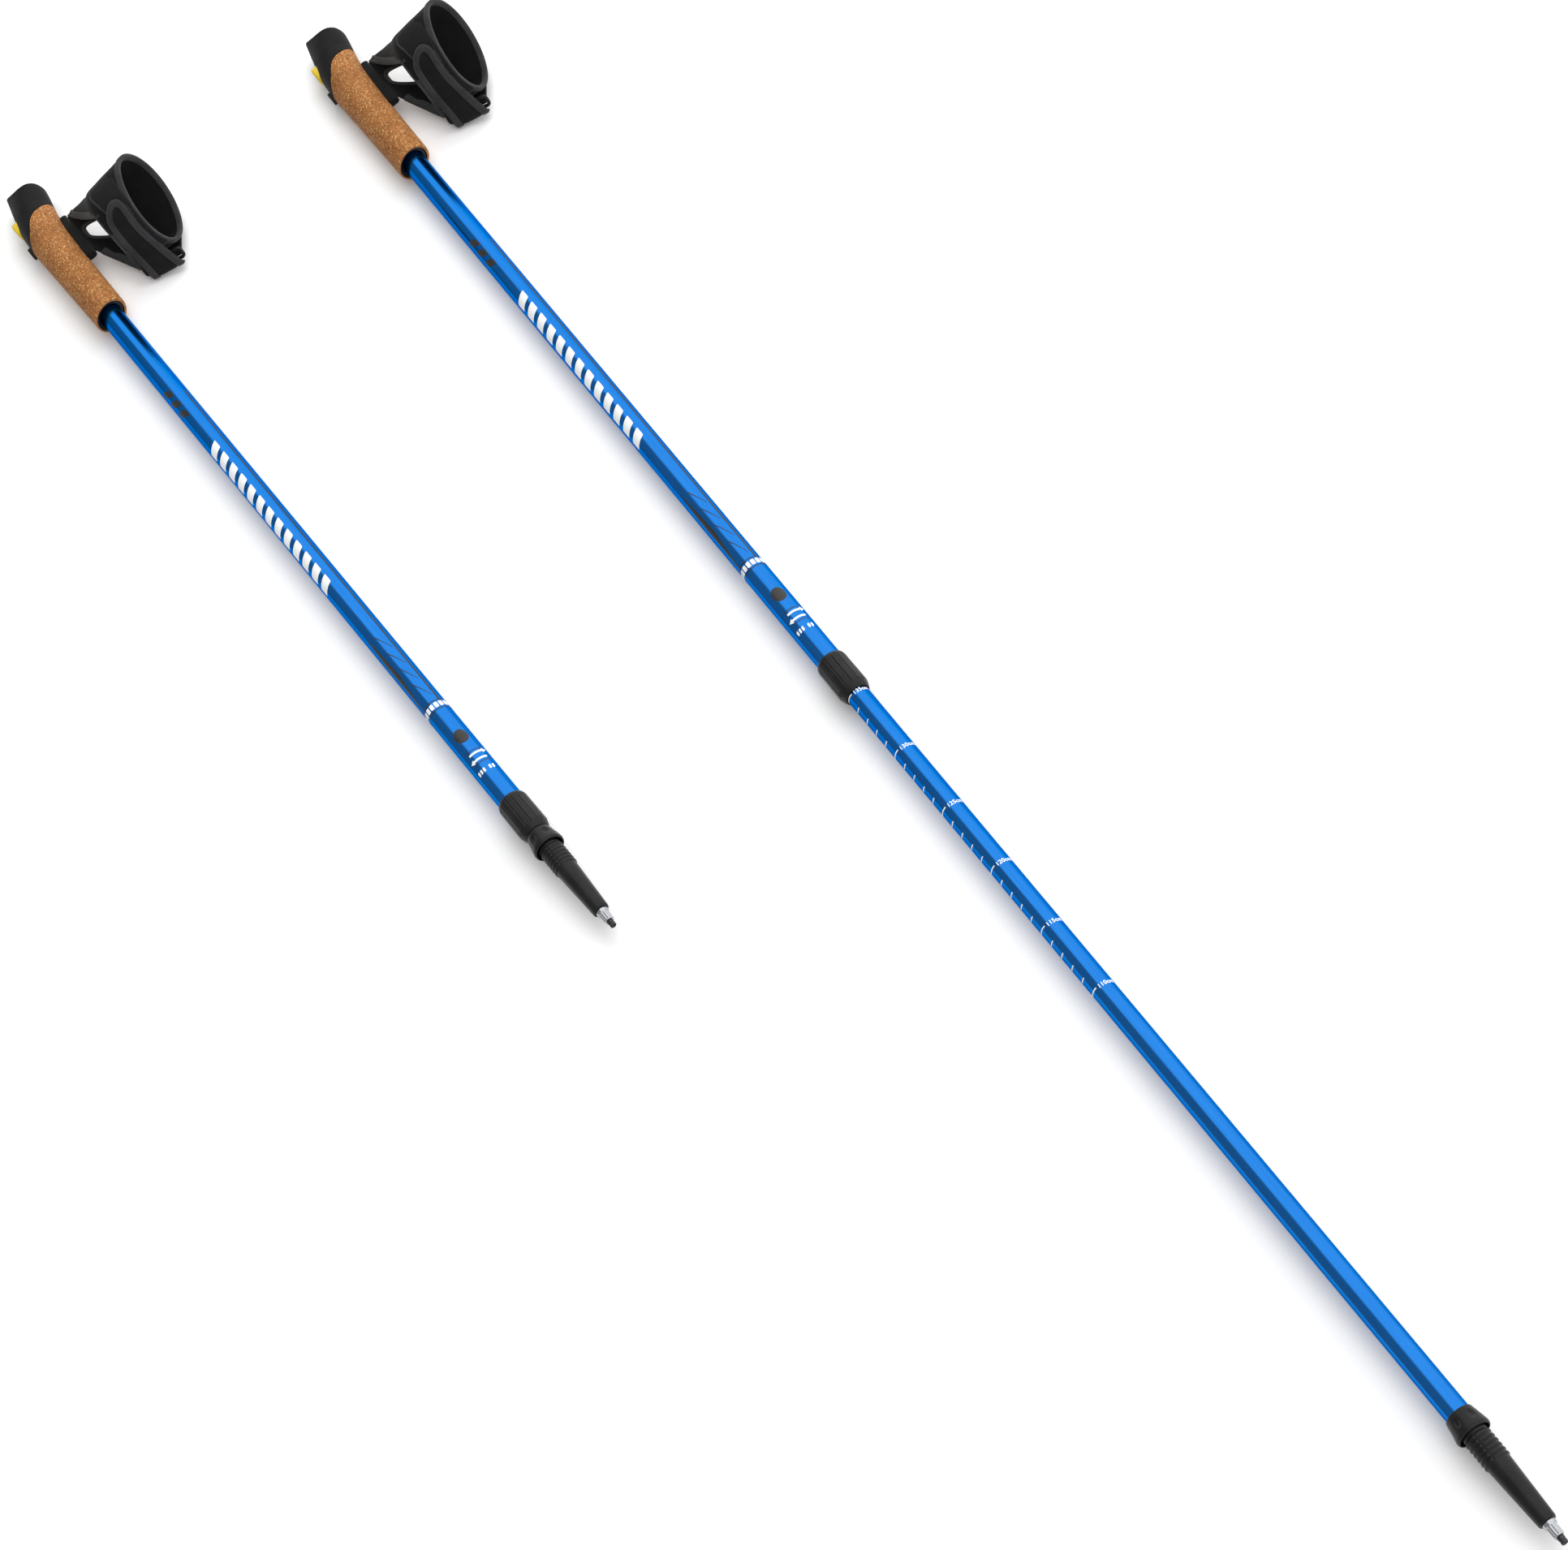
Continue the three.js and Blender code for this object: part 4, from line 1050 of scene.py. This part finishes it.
def tip_collar(pole):
    """Flared collar with six thumb dimples and a hollow lip."""
    bore, hollow = LOWER_R + 0.2, 8.4
    dimple_y, dimple_wide, dimple_long = -570.9, 1.8, 2.4
    outline = rounded([(bore, -573), (hollow, -573.6), (8.9, COLLAR_RIM - 1.4),
                       (9.7, COLLAR_RIM - 1.2), (10.1, COLLAR_RIM + 0.4), (9.5, -573),
                       (8.5, -568), (7.9, TIP_TOP), (bore, TIP_TOP)], 0.7, 4, closed=True)
    def shape(radius, y, angles):
        if radius < 8.45 or y < COLLAR_RIM + 1:
            return np.full(len(angles), radius)
        turn = np.mod(angles + 0.62, math.pi / 3) - math.pi / 6
        away = (turn * 9 / dimple_wide) ** 2 + ((y - dimple_y) / dimple_long) ** 2
        return radius - np.exp(-away ** 2)

    shape = turned(divided(outline, 8, 2, 8), 144, shape)
    piece(pole, "tip_collar", shape, "tip", "shaft", ["tip_collar"],
          pole.pushed_in, crease=40)


def tip_body(pole):
    """Ribbed neck and tapering end; the ribs stop short of two moulded strips."""
    spigot, strip_r = LOWER_R - WALL - 0.1, 6.95
    outline = [(2.2, BODY_END), (4.75, BODY_END), (5.25, BODY_END + 0.9), (6.8, RIBS_LOW - 0.8)]
    for i in range(RIBS):
        y = RIBS_LOW + i * RIB_PITCH
        outline += [(6.75, y), (7.55, y + 0.55), (7.55, y + 1.75), (6.75, y + 2.3)]
    outline += [(6.8, COLLAR_RIM - 2.2), (7.15, COLLAR_RIM - 1.5), (7.15, LOWER_FOOT - 0.1),
                (spigot, LOWER_FOOT - 0.1),
                (spigot, LOWER_FOOT + 25), (2.2, LOWER_FOOT + 25)]
    outline = rounded(outline, 0.55, 3, closed=True)

    def shape(radius, y, angles):
        if radius < 6.78 or not RIBS_LOW - 0.5 < y < COLLAR_RIM - 1:
            return np.full(len(angles), radius)
        turn = np.mod(angles - 0.12, math.pi) - math.pi / 2
        return strip_r + (radius - strip_r) * smooth((np.abs(turn) * 7.5 - 0.3) / 0.5)

    shape = turned(outline, 168, shape)
    piece(pole, "tip_body", shape, "tip", "shaft", ["tip_body"],
          pole.pushed_in, crease=40)


def tip_metal(pole):
    """Fluted bright ferrule and a dark carbide crown with a hollow end."""
    outline = rounded([(1.5, FERRULE_END + 0.4), (1.5, FERRULE_END), (2.75, FERRULE_END),
                       (3.05, FERRULE_END + 0.7), (3.15, BODY_END - 2.8), (3.9, BODY_END - 2.0),
                       (3.9, BODY_END - 0.1), (1.5, BODY_END - 0.1)], 0.4, 3, closed=True)

    def fluted(radius, y, angles):
        deep = 0.28 if radius > 2 and FERRULE_END + 0.5 < y < BODY_END - 2.6 else 0.0
        return radius - deep * (0.5 + 0.5 * np.cos(8 * angles)) ** 2

    piece(pole, "tip_ferrule", turned(outline, 96, fluted), "chrome", "shaft",
          ["tip_ferrule"], pole.pushed_in, crease=40)
    head = FERRULE_END - 0.1
    outline = rounded([(0.02, TIP_END + 1.5), (0.9, TIP_END + 1.1), (1.45, TIP_END),
                       (1.95, TIP_END + 0.2), (2.05, TIP_END + 1.6), (1.75, TIP_END + 2.2),
                       (2.05, TIP_END + 2.8), (2.05, head), (1.2, head), (1.2, head + 4),
                       (0.02, head + 4)], 0.25, 3, closed=True)

    def crown(radius, y, angles):
        notch = 0.3 if radius > 1.3 and y < TIP_END + 1.7 else 0.0
        return radius - notch * (0.5 + 0.5 * np.cos(6 * angles)) ** 3

    shape = turned(outline, 72, crown)
    piece(pole, "carbide_tip", shape, "carbide", "shaft", ["carbide_tip"],
          pole.pushed_in, crease=40)


# ------------------------------------------------------------------ print
def flat_print(outlines, texts):
    """A bmesh of flat ink, in millimetres: u runs round the tube and v along it."""
    thick = 0.05
    work = bmesh.new()
    for outline in outlines:
        low, top = ([work.verts.new((u, v, z)) for u, v in outline] for z in (-thick, thick))
        work.faces.new(low)
        work.faces.new(reversed(top))
        for i in range(len(low)):
            work.faces.new((low[i], top[i], top[i - 1], low[i - 1]))
    for body, size, u, v in texts:
        font = bpy.data.curves.new("temporary", "FONT")
        font.body = body
        font.size = size
        font.extrude = thick
        font.offset = 0.06
        font.resolution_u = 3
        obj = bpy.data.objects.new("temporary", font)
        bpy.context.scene.collection.objects.link(obj)
        bpy.context.view_layer.update()
        graph = bpy.context.evaluated_depsgraph_get()
        mesh = bpy.data.meshes.new_from_object(obj.evaluated_get(graph))
        mesh.transform(Matrix.Translation((u, v, 0)))
        work.from_mesh(mesh)
        bpy.data.objects.remove(obj)
    bmesh.ops.remove_doubles(work, verts=work.verts, dist=1e-4)
    bmesh.ops.triangulate(work, faces=work.faces[:])
    return work


def wrapped_print(pole, name, outlines, texts, radius, ink_name, body, shift=0.0):
    """Ink laid round a tube: u 0 is its front side, and u grows over the top to the rear."""
    work = flat_print(outlines, texts)
    us = [v.co.x for v in work.verts]
    step = 0.7
    for u in np.arange(math.floor(min(us) / step) * step, max(us), step):
        geometry = work.verts[:] + work.edges[:] + work.faces[:]
        bmesh.ops.bisect_plane(work, geom=geometry, dist=1e-5, plane_co=(u, 0, 0),
                               plane_no=(1, 0, 0))
    bmesh.ops.triangulate(work, faces=work.faces[:])
    for vertex in work.verts:
        angle = math.pi - vertex.co.x / radius
        reach = (radius + vertex.co.z + 0.02) * MM
        vertex.co = (reach * math.cos(angle), vertex.co.y * MM, reach * math.sin(angle))
    bmesh.ops.recalc_face_normals(work, faces=work.faces)
    mesh = bpy.data.meshes.new(f"{pole.name}_{name}")
    work.to_mesh(mesh)
    work.free()
    return placed(pole, name, mesh, ink_name, body, shift=shift, crease=30)


def around(degrees, radius):
    """Distance round the tube from its front side to this angle over the rear."""
    return (180 - degrees) * math.pi / 180 * radius


def bar_outline(u0, u1, v, height, lean=0.0, soft=0.25):
    """A slanted bar with slightly rounded corners."""
    half = height / 2
    corners = [(u0, v - half - lean), (u1, v - half + lean), (u1, v + half + lean),
               (u0, v + half - lean)]
    return rounded(corners, soft, 2, closed=True).tolist()


def scale_print(pole):
    """Centimetre scale on the lower tube: ticks at each centimetre, numbers at each fifth."""
    ticks, numbers = [], []
    for mark in range(SCALE_TOP, SCALE_LOW - 1, -1):
        v = -10.0 * (SCALE_TOP - mark) - 3.6
        if mark % 5:
            ticks.append(bar_outline(around(166, LOWER_R), around(130, LOWER_R), v, 0.85))
        else:
            ticks.append(bar_outline(around(176, LOWER_R), around(114, LOWER_R), v, 0.85))
            numbers.append((f"{mark}cm", 3.9, around(105, LOWER_R), v - 2.0))
    wrapped_print(pole, "scale", ticks, numbers, LOWER_R, "white_ink", "shaft",
                  pole.pushed_in)


def upper_print(pole):
    """Plain graphics on the upper tube: a long pinstripe, slanted bars and two arrows."""
    def at(degrees):
        return around(degrees, UPPER_R)

    white, black = [], []
    black.append([(at(47), 117.5), (at(38), 117.5), (at(38), 452), (at(46), 449)])
    for k in range(13):
        v = 390.5 - 12.2 * k
        white.append(bar_outline(at(150), at(84), v, 7.6, 2.2, 0.8))
    for k in range(3):
        v = 455 - 11 * k
        black.append(bar_outline(at(140), at(98), v, 6.4, -2.2, 0.8))
    black.append([(at(128), 190), (at(122), 172), (at(116), 150), (at(128), 132),
                  (at(147), 112), (at(141), 138), (at(143), 165), (at(136), 182)])
    for k in range(4):
        v = 186 - 16 * k
        black.append([(at(96), v), (at(58), v - 14), (at(58), v - 15), (at(98), v - 1.2)])
    turns = np.arange(0, 360, 24)
    for a in turns:
        white.append(bar_outline(at(a + 9), at(a - 9), 114.5, 4.2, 0.0, 0.6))
    black.append(bar_outline(at(359), at(1), 118.1, 0.7))
    black.append(bar_outline(at(359), at(1), 110.9, 0.7))
    disc = circle(28)
    black.append([(at(76) + 4.6 * math.cos(a), 84 + 5.6 * math.sin(a)) for a in disc])
    for v, way in ((67.6, 1), (62.2, -1)):
        tail, head = (at(106), at(40)) if way > 0 else (at(38), at(104))
        white.append([(tail, v - 0.75), (head, v - 0.75), (head, v - 1.9), (head + way * 3, v),
                      (head, v + 1.9), (head, v + 0.75), (tail, v + 0.75)])
        black.append(bar_outline(at(116), at(28), v + 2.7 * way, 0.6))
    for a in (122, 106, 90, 60, 44):
        white.append(bar_outline(at(a + 5), at(a - 5), 53.2, 3.2, 0.3, 0.5))
    wrapped_print(pole, "white_print", white, [], UPPER_R, "white_ink", "handle")
    wrapped_print(pole, "black_print", black, [], UPPER_R, "black_ink", "handle")


# ------------------------------------------------------------------ assembly
INNER_LOOKS = {
    "button_spring": "steel", "strap_latch": "nylon", "expander_sleeve": "nylon",
    "expander_cone": "nylon", "end_stop": "steel", "lock_spindle": "steel",
    "tube_plug": "black"}

for pole in (Pole("long"), Pole("short")):
    grip_head(pole)
    cork_grip(pole)
    grip_core(pole)
    release_button(pole)
    strap_clip(pole)
    skin, level = glove(pole)
    root_sleeve(pole)
    loop_panel(pole, skin, level)
    closure_tab(pole)
    closure_web(pole)
    strap_loop(pole)
    tubes(pole)
    lock_collar(pole)
    tip_collar(pole)
    tip_body(pole)
    tip_metal(pole)
    scale_print(pole)
    upper_print(pole)
    for node, look in INNER_LOOKS.items():
        inner = frame["nodes"][f"{pole.name}_{node}"]
        inner.data.materials.clear()
        inner.data.materials.append(MATERIALS[look])

# ------------------------------------------------------------------ stage, light and camera
FLOOR_HALF = 6.0
floor_mesh = bpy.data.meshes.new("floor")
corners = [(x * FLOOR_HALF, y * FLOOR_HALF, 0) for x, y in ((-1, -1), (1, -1), (1, 1), (-1, 1))]
floor_mesh.from_pydata(corners, [], [(0, 1, 2, 3)])
floor = bpy.data.objects.new("floor", floor_mesh)
bpy.context.scene.collection.objects.link(floor)
pale = Paint("floor_paper", 0.9, specular=0.1)
pale.colour(pale.ramp(pale.noise(400, 2), [(0.3, (0.93, 0.93, 0.93)), (0.7, (0.95, 0.95, 0.95))]))
floor_mesh.materials.append(pale.material)

# Soft sky: bright on the grips' rear side, and dim on the front side, as beside one large
# softbox, which gives the tubes their long sharp-edged reflection.
world = bpy.data.worlds.new("studio")
bpy.context.scene.world = world
world.use_nodes = True
nodes, links = world.node_tree.nodes, world.node_tree.links
direction = nodes.new("ShaderNodeTexCoord")
split = nodes.new("ShaderNodeSeparateXYZ")
links.new(direction.outputs["Generated"], split.inputs["Vector"])
tilt = nodes.new("ShaderNodeMath")
tilt.operation = "MULTIPLY_ADD"
tilt.inputs[1].default_value = 0.17
links.new(split.outputs["Z"], tilt.inputs[0])
links.new(split.outputs["X"], tilt.inputs[2])
sky = nodes.new("ShaderNodeMapRange")
for name, value in (("From Min", -0.03), ("From Max", 0.03), ("To Min", 0.42), ("To Max", 1.55)):
    sky.inputs[name].default_value = value
links.new(tilt.outputs["Value"], sky.inputs["Value"])
links.new(sky.outputs["Result"], nodes["Background"].inputs["Strength"])
nodes["Background"].inputs["Color"].default_value = (1, 1, 1, 1)

key = bpy.data.lights.new("key", "AREA")
key.shape = "RECTANGLE"
key.size, key.size_y = 2.4, 1.6
key.energy = 30
key_object = bpy.data.objects.new("key", key)
bpy.context.scene.collection.objects.link(key_object)
key_object.location = (1.5, 1.2, 2.6)
key_object.visible_glossy = False
aim = Vector((0, 0.1, 0)) - key_object.location
key_object.rotation_euler = aim.to_track_quat("-Z", "Y").to_euler()

# The camera's stance was solved from the printed centimetre ticks and the tubes' widths.
CAMERA_STANDS = Vector((-0.06251553, -1.23285655, 1.81565274))  # from the long lock collar
camera = bpy.data.cameras.new("camera")
camera.lens = 86.86
camera.sensor_width = 36
camera_object = bpy.data.objects.new("camera", camera)
bpy.context.scene.collection.objects.link(camera_object)
right = Vector((0.78011, -0.51942, -0.34876))
up = Vector((0.62564, 0.64766, 0.43486))
forward = Vector((0, 0.55744, -0.83022))
stance = Matrix((right, up, -forward)).transposed().to_4x4()
origin = Vector(JOINTS["long_shaft_twist"]["pos_m"])
camera_object.matrix_world = Matrix.Translation(origin + CAMERA_STANDS) @ stance
bpy.context.scene.camera = camera_object
bpy.context.scene.view_settings.view_transform = "Standard"
